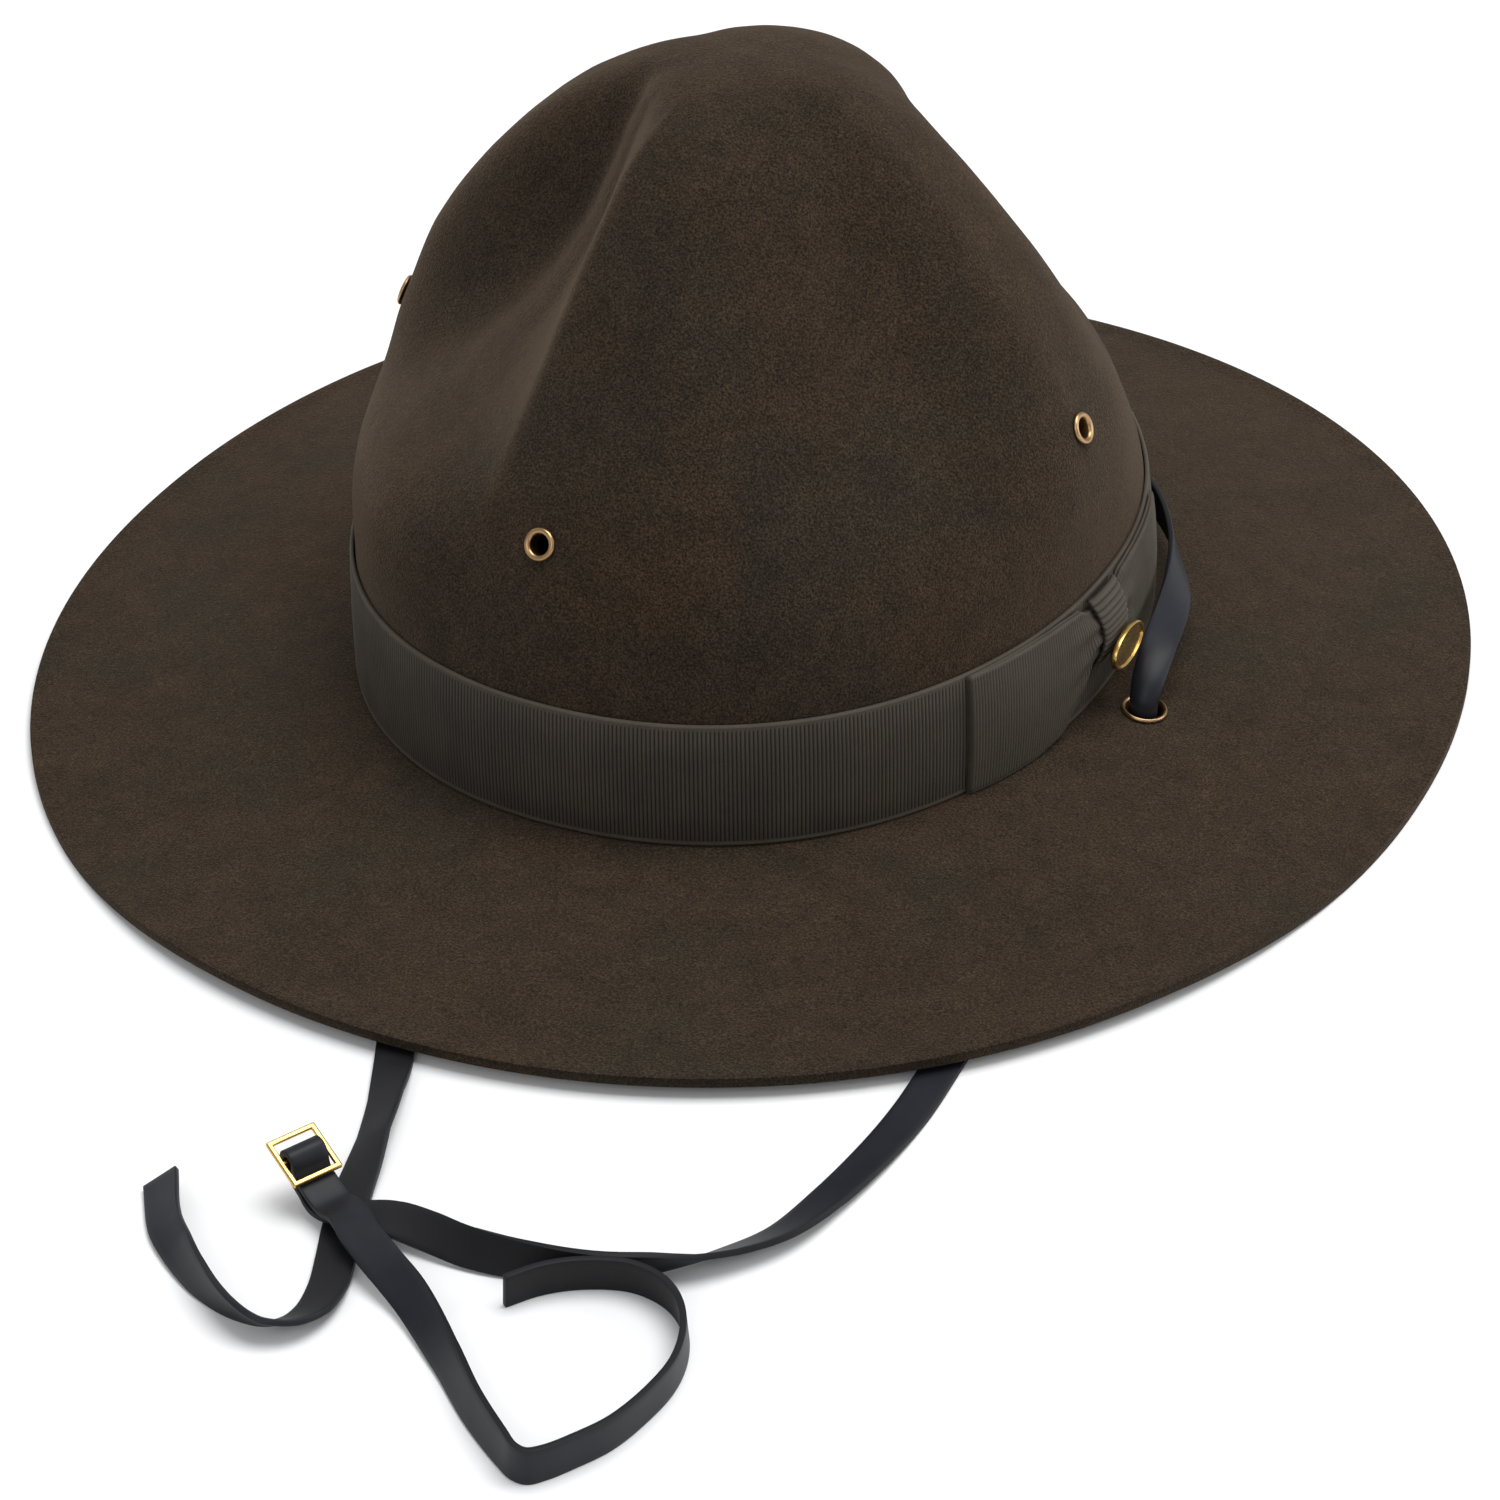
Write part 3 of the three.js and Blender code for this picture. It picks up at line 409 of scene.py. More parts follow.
LEFT_END = [
    (19, -231.2, 4.3, 182, 0), (24.5, -236, 4.1, 188, 0), (31, -240.5, 3, 200, 0),
    (41, -246.8, 0.8, 222, 0), (55, -259, 0, 243, 0), (66, -269.4, 0, 252, 0),
    (75.4, -276.7, 0, 260, 0), (79.5, -279.4, 0, 266, 0), (82.2, -279.6, 0, 270, 0),
    (84.8, -277.4, 0, 273, 0), (88.3, -272.4, 0, 274, 0), (92, -265.8, 0, 274, 0),
    (94.5, -256.5, 0, 274, 0), (95.4, -247, 0, 272, 0), (93.6, -238.2, 0, 268, 0),
    (89.5, -230.8, 0, 264, 0), (83.8, -226.4, 0, 264, 0), (76.2, -225, 0, 264, 0),
    (67.7, -227.8, 0, 264, 0), (61.3, -232.4, 0, 264, 0), (56.5, -238.5, 0, 264, 0)]
RIGHT_ROUTE = [
    (-97.9, -7.4, 4, 0, -160), (-97.75, -7.5, 1.9, 0, -160), (-97.3, -8.3, 0.8, 0, -150),
    (-96.4, -10, 0.4, 0, -130), (-94.8, -12.6, 0.2, 0, -90), (-92.6, -16.1, 0, 0, -50),
    (-89.7, -20.8, 0, 0, -20), (-86, -26.8, 0, 0, 0), (-72, -49, 0, 0, 0), (-56, -75, 0, 0, 0),
    (-40, -102, 0, 0, 0), (-24, -130, 0, 0, 0), (-9.5, -158, 0, 0, 0), (1.4, -181, 0, 2, 0),
    (6.3, -193, 0, 28, 0), (10.2, -205, 0, 34, 0), (12.7, -214, 0, 18, 0),
    (14.9, -223, 0, 3, 0), (17.7, -231.5, 0, 0, 0), (20.9, -239.5, 0, 2, 0),
    (24, -248.4, 0, 10, 0), (24.9, -255.8, 0, 20, 0), (23.2, -261, 0, 32, 0),
    (19.2, -263.8, 0, 46, 0), (12.7, -263.3, 0, 70, 0), (2.2, -258.4, 0, 105, 0),
    (-6.5, -251.8, 0, 128, 0), (-13, -245.7, 0, 140, 0), (-21, -233.9, 0, 148, 0)]
BUCKLE_X = 4.3
BUCKLE_Y = -223.5
BUCKLE_Z = 5.8
BUCKLE_HEADING = math.radians(-28)
BUCKLE_TILT = math.radians(24)
# the buckle leans about this place, along from its bar and up from the surface
TILT_ALONG = 11
TILT_HEIGHT = 3.2
# round the middle bar: along from the bar towards where the strap leaves, and height
BAR_TURN = [
    (10, 2.1), (5.9, 2.2), (1.6, 2.9), (-1.3, 4.35), (-1.95, 5.8), (-1.38, 7.2), (0, 7.8),
    (1.4, 7.2), (2.6, 5.4), (4, 4.2), (5.8, 4.1), (11, 4.5)]


def beside_bar(along, height):
    """A place at the buckle, which the stiff strap holds up on its far side."""
    back, up = along - TILT_ALONG, height - TILT_HEIGHT
    reach = TILT_ALONG + back * math.cos(BUCKLE_TILT) + up * math.sin(BUCKLE_TILT)
    return Vector((BUCKLE_X + reach * math.cos(BUCKLE_HEADING), BUCKLE_Y + reach * math.sin(BUCKLE_HEADING),
                   TILT_HEIGHT - back * math.sin(BUCKLE_TILT) + up * math.cos(BUCKLE_TILT)))


def bar_turn():
    """Rows that take the strap up through the buckle, round its middle bar and down again."""
    rows = []
    for along, height in BAR_TURN:
        place = beside_bar(along, height)
        rows.append((place.x, place.y, place.z - LAID - STRAP / 2, 180, 0))
    return rows


LEFT_ROUTE = LEFT_START + bar_turn() + LEFT_END
print(len(LEFT_ROUTE), "rows on the left strap,", len(RIGHT_ROUTE), "on the right")


# %% Sweeping a strap
def rest_height(tilt, curl):
    """Height of the strap's middle when it lies on the surface, tilted and rolled."""
    arc = max(math.radians(abs(curl)), 1e-3)
    radius = STRAP_WIDTH / arc
    standing = radius * math.sin(arc / 2)
    lying = STRAP / 2 + radius * (1 - math.cos(arc / 2))
    angle = math.radians(tilt)
    return LAID + standing * abs(math.sin(angle)) + lying * abs(math.cos(angle))


def curve_point(points, place):
    """A smooth curve through the points that doesn't swing wide where they lie close."""
    k = min(int(place), len(points) - 2)
    f = place - k
    p1, p2 = points[k], points[k + 1]
    p0 = points[k - 1] if k > 0 else 2 * p1 - p2
    p3 = points[k + 2] if k + 2 < len(points) else 2 * p2 - p1
    d0 = max((p1 - p0).length, 1e-6) ** 0.5
    d1 = max((p2 - p1).length, 1e-6) ** 0.5
    d2 = max((p3 - p2).length, 1e-6) ** 0.5
    t1 = ((p1 - p0) / d0 - (p2 - p0) / (d0 + d1) + (p2 - p1) / d1) * d1
    t2 = ((p2 - p1) / d1 - (p3 - p1) / (d1 + d2) + (p3 - p2) / d2) * d1
    return p1 + t1 * f + (3 * (p2 - p1) - 2 * t1 - t2) * f * f + (2 * (p1 - p2) + t1 + t2) * f ** 3


def strap_frames(points, tilts, curls, laid, start_side, steps=8):
    """Middle, width direction, face direction and curl of the strap at each step of its route."""
    frames = []
    count = (len(points) - 1) * steps
    for i in range(count + 1):
        place = i / steps
        k = min(int(place), len(points) - 2)
        f = place - k
        tilt = tilts[k] + (tilts[k + 1] - tilts[k]) * f
        curl = curls[k] + (curls[k + 1] - curls[k]) * f
        middle = curve_point(points, place)
        if laid:
            middle.z = max(middle.z, 0) + rest_height(tilt, curl)
        frames.append([middle, tilt, curl])
    level = start_side
    result = []
    for i, (middle, tilt, curl) in enumerate(frames):
        tangent = (frames[min(i + 1, count)][0] - frames[max(i - 1, 0)][0]).normalized()
        side = Vector((-tangent.y, tangent.x, 0))
        if side.length < 0.3:
            side = level - tangent * level.dot(tangent)
        side.normalize()
        if side.dot(level) < 0:
            side.negate()
        level = side
        width = Quaternion(tangent, math.radians(tilt)) @ side
        result.append((middle, width, tangent.cross(width), curl))
    return result


def make_strap(name, frames, finishes, across=6):
    """Bend a long flat grid along the frames, then give it a wall and soft edges.

    The first finish is on the side that the frames face, the second on the other side.
    """
    steps = len(frames) - 1
    bm = bmesh.new()
    bmesh.ops.create_grid(bm, x_segments=steps, y_segments=across, size=0.5, calc_uvs=True)
    for vertex in bm.verts:
        middle, width, face, curl = frames[round((vertex.co.x + 0.5) * steps)]
        turn = -1 if curl < 0 else 1
        arc = max(math.radians(abs(curl)), 1e-3)
        radius = (STRAP_WIDTH - 0.1) / arc
        angle = vertex.co.y * arc
        proud = turn * radius * (math.cos(angle) - math.cos(arc / 2))
        vertex.co = middle + width * radius * math.sin(angle) + face * proud
    piece = add_piece(bm, name, finishes[0])
    piece.data.materials.append(finishes[1])
    wall = add_wall(piece, STRAP, 0.0)
    wall.material_offset = 1
    wall.material_offset_rim = 1
    add_bevel(piece, 0.32, 2, 60)
    apply_modifiers(piece)
    shade_smooth(piece)
    return piece


# %% [markdown]
# ## The buckle
# The slide is stamped from brass strip: a square frame with one bar across its middle. It starts
# as a small grid whose window faces are deleted, and what is left is given its thickness.

# %% Buckle
BUCKLE_WINDOW = 8.8
BUCKLE_BAR = 1.1


def make_buckle():
    outer = BUCKLE_WINDOW / 2 + BUCKLE_BAR
    inner = BUCKLE_WINDOW / 2
    bar = BUCKLE_BAR / 2
    across = [-outer, -inner, -bar, bar, inner, outer]
    up = [-outer, -inner, inner, outer]
    bm = bmesh.new()
    bmesh.ops.create_grid(bm, x_segments=5, y_segments=3, size=0.5)
    for vertex in bm.verts:
        vertex.co.x = across[round((vertex.co.x + 0.5) * 5)]
        vertex.co.y = up[round((vertex.co.y + 0.5) * 3)]
    windows = [f for f in bm.faces
               if abs(f.calc_center_median().y) < 1 and 1 < abs(f.calc_center_median().x) < inner]
    bmesh.ops.delete(bm, geom=windows, context="FACES")
    lifted = bmesh.ops.extrude_face_region(bm, geom=bm.faces[:])
    raised = [item for item in lifted["geom"] if isinstance(item, bmesh.types.BMVert)]
    bmesh.ops.translate(bm, vec=(0, 0, BUCKLE_BAR), verts=raised)
    bmesh.ops.translate(bm, vec=(0, 0, -BUCKLE_BAR / 2), verts=bm.verts)
    bmesh.ops.recalc_face_normals(bm, faces=bm.faces)
    turn = Matrix.Rotation(BUCKLE_HEADING, 4, "Z") @ Matrix.Rotation(BUCKLE_TILT, 4, "Y")
    place = Matrix.Translation(beside_bar(0, BUCKLE_Z))
    bmesh.ops.transform(bm, matrix=place @ turn, verts=bm.verts)
    piece = add_piece(bm, "slide", brass_finish, smooth=False)
    add_bevel(piece, 0.36, 4, 40)
    apply_modifiers(piece)
    shade_smooth(piece)
    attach(piece, "root")
    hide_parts("buckle")
    return piece


slide = make_buckle()
print("buckle", round(2 * (BUCKLE_WINDOW / 2 + BUCKLE_BAR), 1), "mm square")

# %% Lay the two loose straps
def lay_strap(name, route, finishes):
    points = [Vector((x, y, lift)) for x, y, lift, tilt, curl in route]
    heading = points[6] - points[0]
    side = Vector((-heading.y, heading.x, 0)).normalized()
    frames = strap_frames(points, [row[3] for row in route], [row[4] for row in route], True, side)
    piece = make_strap(name, frames, finishes)
    path = [tuple(middle * MM) for middle, width, face, curl in frames]
    length = sum((Vector(a) - Vector(b)).length for a, b in zip(path, path[1:]))
    print(name, "is", round(length, 4), "m long")
    return piece, path


left_run, left_path = lay_strap("strap_left", LEFT_ROUTE, (leather_outside, leather_inside))
right_run, right_path = lay_strap("strap_right", RIGHT_ROUTE, (leather_inside, leather_outside))
for run, node in ((left_run, "strap_left_run"), (right_run, "strap_right_run")):
    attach(run, "root")
    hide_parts(node)

# %% [markdown]
# ## The form of the felt
# A hatter pulls one cone of felt over a block and creases it by hand. The form is therefore one
# surface: an oval in plan that shrinks towards the peak. Ridges at the front, sides and back
# shrink slowly, and the four dents between them shrink faster.

# %% Oval of the head
def oval_point(azimuth, half_width, half_length, power):
    angle = math.radians(azimuth)
    c, s = math.cos(angle), math.sin(angle)
    reach = (abs(c) ** power + abs(s) ** power) ** (-1 / power)
    return Vector((half_width * reach * s, -half_length * reach * c, 0))


def head_oval(azimuth):
    return oval_point(azimuth, HEAD_HALF_WIDTH, HEAD_HALF_LENGTH, HEAD_POWER)


def head_normal(azimuth):
    along = (head_oval(azimuth + 0.5) - head_oval(azimuth - 0.5)).normalized()
    return Vector((along.y, -along.x, 0))


def beside_head(azimuth, out, up):
    return head_oval(azimuth) + head_normal(azimuth) * out + Vector((0, 0, FOOT + up))


# %% Ridges and dents of the crown
# the rise as a share of the whole rise, then the reach of each form as a share of the oval
CROWN_NAMES = ("rise", "front", "side", "right side", "back", "left dent", "right dent", "back dent")
CROWN_ROWS = [
    (0.000, 1.000, 1.000, 1.000, 1.000, 1.000, 1.000, 1.000),
    (0.110, 1.000, 1.000, 1.000, 1.000, 1.000, 1.000, 0.995),
    (0.220, 0.990, 0.995, 0.995, 0.990, 0.990, 0.995, 0.975),
    (0.330, 0.945, 0.995, 0.995, 0.960, 0.960, 0.990, 0.920),
    (0.400, 0.910, 0.990, 0.990, 0.930, 0.918, 0.950, 0.868),
    (0.470, 0.862, 0.970, 0.975, 0.890, 0.862, 0.825, 0.790),
    (0.540, 0.800, 0.920, 0.935, 0.830, 0.785, 0.680, 0.690),
    (0.640, 0.700, 0.835, 0.865, 0.720, 0.660, 0.515, 0.555),
    (0.740, 0.600, 0.715, 0.755, 0.590, 0.540, 0.400, 0.465),
    (0.840, 0.485, 0.560, 0.605, 0.470, 0.420, 0.325, 0.410),
    (0.920, 0.380, 0.405, 0.440, 0.360, 0.320, 0.270, 0.340),
    (0.980, 0.210, 0.225, 0.240, 0.190, 0.190, 0.200, 0.190),
    (1.000, 0.000, 0.000, 0.000, 0.000, 0.000, 0.000, 0.000)]
# azimuth from the front towards the wearer's left, form, its flat before and after, creased
FOLDS = [
    (-5.5, "front", 12, 9, False), (45, "left dent", 3, 3, False), (87, "side", 4, 4, False),
    (137, "back dent", 3, 3, False), (180, "back", 5, 5, False), (223, "back dent", 3, 3, False),
    (271, "right side", 4, 4, False), (310, "right dent", 4, 6, True)]
FOLD_POWER = 1.5
CREASE_POWER = 1.8
LAST_ROW = len(CROWN_ROWS) - 1


def crown_column(form, row):
    column = CROWN_NAMES.index(form)
    i = min(int(row), LAST_ROW - 1)
    f = row - i
    p1, p2 = CROWN_ROWS[i][column], CROWN_ROWS[i + 1][column]
    p0 = CROWN_ROWS[i - 1][column] if i > 0 else 2 * p1 - p2
    p3 = CROWN_ROWS[i + 2][column] if i < LAST_ROW - 1 else 2 * p2 - p1
    return 0.5 * (2 * p1 + (p2 - p0) * f + (2 * p0 - 5 * p1 + 4 * p2 - p3) * f * f
                  + (3 * p1 - p0 - 3 * p2 + p3) * f ** 3)


def fold_at(azimuth):
    """Ridge and dent on either side of an azimuth, with the share that is ridge."""
    for i, (start, form, before, after, creased) in enumerate(FOLDS):
        end, end_form, end_before = FOLDS[(i + 1) % len(FOLDS)][:3]
        span = (end - start) % 360
        turn = (azimuth - start) % 360
        if turn < span:
            x = min(max((turn - after) / (span - after - end_before), 0), 1)
            dent = form.endswith("dent")
            from_ridge = 1 - x if dent else x
            if creased:
                share = (1 - from_ridge) ** CREASE_POWER
            else:
                share = math.cos(from_ridge * math.pi / 2) ** (2 * FOLD_POWER)
            return (end_form, form, share) if dent else (form, end_form, share)
    return "front", "left dent", 1.0


def crown_point(azimuth, row):
    ridge, dent, share = fold_at(azimuth)
    reach = crown_column(dent, row) * (1 - share) + crown_column(ridge, row) * share
    rise = crown_column("rise", row)
    plan = head_oval(azimuth) * reach
    return Vector((plan.x, plan.y - PEAK_FORWARD * rise * rise, FOOT + CROWN_RISE * rise))


# %% Brim
FRONT_LIFT = STRAP + 1.6
LIFT_AZIMUTH = 20
LIFT_HALF = 34
LIFT_FADE = 26


def edge_lift(azimuth):
    """The brim edge is raised a little where the strap slips under it."""
    away = abs((azimuth - LIFT_AZIMUTH + 180) % 360 - 180)
    x = min(max((away - LIFT_HALF) / LIFT_FADE, 0), 1)
    return FRONT_LIFT * (1 - x * x * (3 - 2 * x))


def brim_point(azimuth, share):
    edge = oval_point(azimuth, HEAD_HALF_WIDTH + BRIM_SIDE, HEAD_HALF_LENGTH + BRIM_ENDS, BRIM_POWER)
    plan = head_oval(azimuth).lerp(edge, share)
    level = REST_STRIP / max(BRIM_SIDE, BRIM_ENDS)
    slope = 1 - min(share / (1 - level), 1)
    plan.z = FELT + BRIM_FALL * slope ** 1.08 + edge_lift(azimuth) * (1 - slope) ** 1.5
    return plan


def surface_normal(surface, azimuth, v, step):
    across = surface(azimuth + 1, v) - surface(azimuth - 1, v)
    along = surface(azimuth, v + step) - surface(azimuth, v - step)
    return across.cross(along).normalized()


# %% [markdown]
# A round shape like this starts as one column of points that is spun about the vertical. Each
# point of the spun barrel knows its row and its azimuth, so it can be moved to its place on the
# hat. Only the outer face is made. A wall of felt then grows inwards from it.


# %% Spin and bend
def bent_turn(rows, columns, place, closed=False, mark=None):
    bm = bmesh.new()
    # this layer holds the rib height that paints shade into the ribbon's grooves
    groove_shade_marks = bm.verts.layers.float.new("rib")
    chain = [bm.verts.new((1, 0, -j)) for j in range(rows)]
    edges = [bm.edges.new(pair) for pair in zip(chain, chain[1:])]
    if closed:
        edges.append(bm.edges.new((chain[-1], chain[0])))
    bmesh.ops.spin(bm, geom=chain + edges, axis=(0, 0, 1), cent=(0, 0, 0), dvec=(0, 0, 0),
                   angle=2 * math.pi, steps=columns, use_merge=True, use_duplicate=False)
    for vertex in bm.verts:
        turn = math.atan2(vertex.co.y, vertex.co.x) / (2 * math.pi)
        column, row = round(turn * columns) % columns, round(-vertex.co.z)
        vertex.co = place(column, row)
        if mark:
            vertex[groove_shade_marks] = mark(column, row)
    bmesh.ops.remove_doubles(bm, verts=bm.verts, dist=1e-4)
    bmesh.ops.recalc_face_normals(bm, faces=bm.faces)
    return bm


# %% Felt surface
CROWN_STEPS = 92
BRIM_STEPS = 44
FELT_COLUMNS = 300


def felt_place(column, row):
    azimuth = column * 360 / FELT_COLUMNS
    if row <= CROWN_STEPS:
        point = crown_point(azimuth, LAST_ROW * (1 - row / CROWN_STEPS))
        lump = 0.22
    else:
        point = brim_point(azimuth, (row - CROWN_STEPS) / BRIM_STEPS)
        lump = 0.14 * min(1, (CROWN_STEPS + BRIM_STEPS - row) / 5)
    ripple = noise.noise(point / 17) + 0.5 * noise.noise(point / 6)
    return point + Vector((0, 0, 1)) * lump * ripple


# %% Worn ridges
WEAR_START = 0.035
WEAR_SPAN = 0.16
WEAR_SMOOTHING = 2


def mark_worn_ridges(bm):
    """Store how sharply each point stands proud of its neighbours, as 1 over millimetres."""
    wear = bm.verts.layers.float.new("wear")
    bm.normal_update()
    for vertex in bm.verts:
        around = [edge.other_vert(vertex).co - vertex.co for edge in vertex.link_edges]
        bend = sum(-2 * side.dot(vertex.normal) / side.length_squared for side in around) / len(around)
        vertex[wear] = min(max((bend - WEAR_START) / WEAR_SPAN, 0), 1)
    for smoothing in range(WEAR_SMOOTHING):
        means = [sum(edge.other_vert(v)[wear] for edge in v.link_edges) / len(v.link_edges) for v in bm.verts]
        for vertex, mean in zip(bm.verts, means):
            vertex[wear] = 0.5 * (vertex[wear] + mean)


# %% Make the felt
felt_bm = bent_turn(CROWN_STEPS + BRIM_STEPS + 1, FELT_COLUMNS, felt_place)
if sum(face.normal.z * face.calc_area() for face in felt_bm.faces) < 0:
    bmesh.ops.reverse_faces(felt_bm, faces=felt_bm.faces)
mark_worn_ridges(felt_bm)
felt = add_piece(felt_bm, "felt", felt_finish)
felt.data.materials.append(shaded_edge_felt_finish)
# The rim of the wall, the cut edge of the brim, takes the darker copy of the felt: painted shade.
add_wall(felt, FELT, -1.0).material_offset_rim = 1
print("felt surface", len(felt.data.polygons), "faces")


# %% [markdown]
# ## Eyelets and grommets
# A brass eyelet is a short tube with a rolled rim on each side of the felt. Its section is spun
# about its own axis and then stood on the crown or the brim. The same place gives the hole that
# is cut through the felt.


# %% Places of the brass
GROMMET_OUT = 12


def crown_seat(azimuth, height):
    row = 0
    while crown_point(azimuth, row).z < FOOT + height:
        row += 0.02
    normal = surface_normal(crown_point, azimuth, row, 0.1)
    return crown_point(azimuth, row) - normal * FELT / 2, normal


def brim_seat(azimuth):
    share = GROMMET_OUT / BRIM_SIDE
    normal = surface_normal(brim_point, azimuth, share, 0.02)
    if normal.z < 0:
        normal.negate()
    point = beside_head(azimuth, GROMMET_OUT, 0)
    point.z = brim_point(azimuth, share).z
    return point - normal * FELT / 2, normal


TUBE_WALL = 0.4
RIM_THICK = 0.8
# name, seat, bore, rim
FITTINGS = [
    ("eyelet_front", crown_seat(-6, 61), 2.2, 3.65),
    ("eyelet_left", crown_seat(84, 68), 2.2, 3.65),
    ("eyelet_right", crown_seat(-84, 68), 2.2, 3.65),
    ("grommet_left", brim_seat(86), 4.2, 5.3),
    ("grommet_right", brim_seat(-86), 4.2, 5.3)]


def stand_on(point, direction):
    turn = Vector((0, 0, 1)).rotation_difference(direction)
    return Matrix.LocRotScale(point, turn, None)


# %% Make the brass rings
RING_STEPS = 48
ROLL_STEPS = 8


def make_ring(name, seat, bore, rim):
    tube = bore + TUBE_WALL
    inside = FELT / 2 + GAP
    middle = (bore + rim) / 2 + 0.15
    half_width = rim - middle
    bm = bmesh.new()
    half = [(bore, 0.0), (bore, inside)]
    for i in range(ROLL_STEPS + 1):
        angle = math.pi * (1 - i / ROLL_STEPS)
        reach = half_width if i > ROLL_STEPS / 2 else middle - bore
        half.append((middle + reach * math.cos(angle), inside + RIM_THICK * math.sin(angle)))
    half.append((tube, inside))
    profile = half + [(r, -z) for r, z in reversed(half[1:])]
    chain = [bm.verts.new((r, 0, z)) for r, z in profile]
    edges = [bm.edges.new(pair) for pair in zip(chain, chain[1:] + chain[:1])]
    bmesh.ops.spin(bm, geom=chain + edges, axis=(0, 0, 1), cent=(0, 0, 0), dvec=(0, 0, 0),
                   angle=2 * math.pi, steps=RING_STEPS, use_merge=True, use_duplicate=False)
    bmesh.ops.remove_doubles(bm, verts=bm.verts, dist=1e-4)
    bmesh.ops.recalc_face_normals(bm, faces=bm.faces)
    bmesh.ops.transform(bm, matrix=stand_on(*seat), verts=bm.verts)
    ring = add_piece(bm, name + "_ring", ring_finish)
    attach(ring, "root")
    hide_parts(name)


for fitting in FITTINGS:
    make_ring(*fitting)
print("brass rings:", len(FITTINGS))

# %% Cut the holes through the felt
cutter_bm = bmesh.new()
for name, seat, bore, rim in FITTINGS:
    radius = bore + TUBE_WALL + GAP
    bmesh.ops.create_cone(cutter_bm, cap_ends=True, segments=40, radius1=radius, radius2=radius,
                          depth=6 * FELT, matrix=stand_on(*seat))
cutter = add_piece(cutter_bm, "cutter", felt_finish, smooth=False)
holes = felt.modifiers.new("holes", "BOOLEAN")
holes.operation = "DIFFERENCE"
holes.object = cutter
add_bevel(felt, 0.45, 2, 55)
apply_modifiers(felt)
bpy.data.objects.remove(cutter)
shade_smooth(felt)
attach(felt, "root")
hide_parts("felt_body")
print("felt with wall and holes:", len(felt.data.polygons), "faces")

# %% [markdown]
# ## The ribbon band
# The band is grosgrain: its ribs run up and down and are about a millimetre apart. They
# are spaced by length along the band, so a table of azimuths with equal steps comes first.

# %% Equal steps round the head
RIB_PITCH = 0.9
COLUMNS_PER_RIB = 4


def equal_azimuths(count):
    """Azimuths that divide the head oval into equal lengths."""
    fine = 3600
    points = [head_oval(i * 360 / fine) for i in range(fine + 1)]
    lengths = [0.0]
    for a, b in zip(points, points[1:]):
        lengths.append(lengths[-1] + (b - a).length)
    result, k = [], 0
    for i in range(count):
        target = lengths[-1] * i / count
        while lengths[k + 1] < target:
            k += 1
        result.append((k + (target - lengths[k]) / (lengths[k + 1] - lengths[k])) * 360 / fine)
    return result, lengths[-1]


round_head = equal_azimuths(4)[1]
ribs = round(round_head / RIB_PITCH)
band_azimuths = equal_azimuths(ribs * COLUMNS_PER_RIB)[0]
print("the band is", round(round_head), "mm round, with", ribs, "ribs")


def wall_inset(azimuth, up):
    wall = crown_point(azimuth, up / (CROWN_RISE * CROWN_ROWS[1][0]))
    return head_oval(azimuth).length - math.hypot(wall.x, wall.y)


# %% Band
# height share and share of the thickness, round the band's section from the lower inner edge
BAND_SECTION = [
    (0.0, 0.0), (0.0, 0.6), (0.006, 0.95), (0.02, 1.0), (0.034, 0.86), (0.045, 1.0), (0.25, 1.0),
    (0.5, 1.0), (0.75, 1.0), (0.955, 1.0), (0.966, 0.86), (0.98, 1.0), (0.994, 0.95), (1.0, 0.6),
    (1.0, 0.0), (0.5, 0.0)]
RIBBED_ROWS = range(5, 10)
RIB_DEPTH = 0.26
RIB_LEVEL = 0.6


def rib(column):
    """Round-topped rib with a narrow groove, from 0 in the groove to 1 on top."""
    return abs(math.sin(math.pi * column / COLUMNS_PER_RIB)) ** 0.7


# The rib height stored here paints shade into the grooves of the band.
def band_rib_shade(column, row):
    return rib(column) if row in RIBBED_ROWS else 1.0


def band_place(column, row):
    share, thick = BAND_SECTION[row]
    azimuth = band_azimuths[column]
    up = GAP + RIBBON_HEIGHT * share
    out = RIBBON_GAP + RIBBON * thick
    if row in RIBBED_ROWS:
        out += RIB_DEPTH * (rib(column) - RIB_LEVEL)
    return beside_head(azimuth, out - wall_inset(azimuth, up), up)


band_bm = bent_turn(len(BAND_SECTION), ribs * COLUMNS_PER_RIB, band_place, closed=True, mark=band_rib_shade)
band = add_piece(band_bm, "band", ribbon_finish)
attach(band, "root")
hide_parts("ribbon_band")

# %% [markdown]
# ## The flat bow
# Each loop of the bow is a length of the same ribbon, folded back on itself and pressed. It is
# made as a long grid: the lower layer runs out from the knot, turns over at the end and comes back
# on top. Under the knot the ribbon is gathered, so there it is less high, thicker and pleated.

# %% Loops of the bow
BOW_AZIMUTH = 84.5
BOW_FRONT = 48
BOW_BACK = 44
BOW_THICK = 1.9
BOW_SEAT = RIBBON_GAP + RIBBON + 1.3 * GAP
CLOTH = 0.5
# share of the length, then height, middle, thickness and how far the edges thin, as shares
LOOP_ROWS = [
    (0.09, 0.40, 0.67, 1.85, 0.75), (0.15, 0.46, 0.67, 1.80, 0.72), (0.24, 0.78, 0.58, 1.45, 0.55),
    (0.40, 0.96, 0.51, 1.15, 0.40), (0.60, 1.00, 0.50, 1.00, 0.30), (0.80, 1.00, 0.50, 0.90, 0.30),
    (1.00, 0.99, 0.50, 0.65, 0.30)]
PLEAT = 0.34
PLEATS = 3.4
LOOP_FACES_HIGH = 30


def over_band(along, up, out):
    """Place on the band from lengths along it, up it and out from it."""
    arc = (head_oval(BOW_AZIMUTH + 0.5) - head_oval(BOW_AZIMUTH - 0.5)).length
    azimuth = BOW_AZIMUTH + along / arc
    inset = wall_inset(azimuth, min(max(up, 0), RIBBON_HEIGHT))
    return beside_head(azimuth, BOW_SEAT + out - inset, up)


def smooth_step(low, high, x):
    t = min(max((x - low) / (high - low), 0), 1)
    return t * t * (3 - 2 * t)


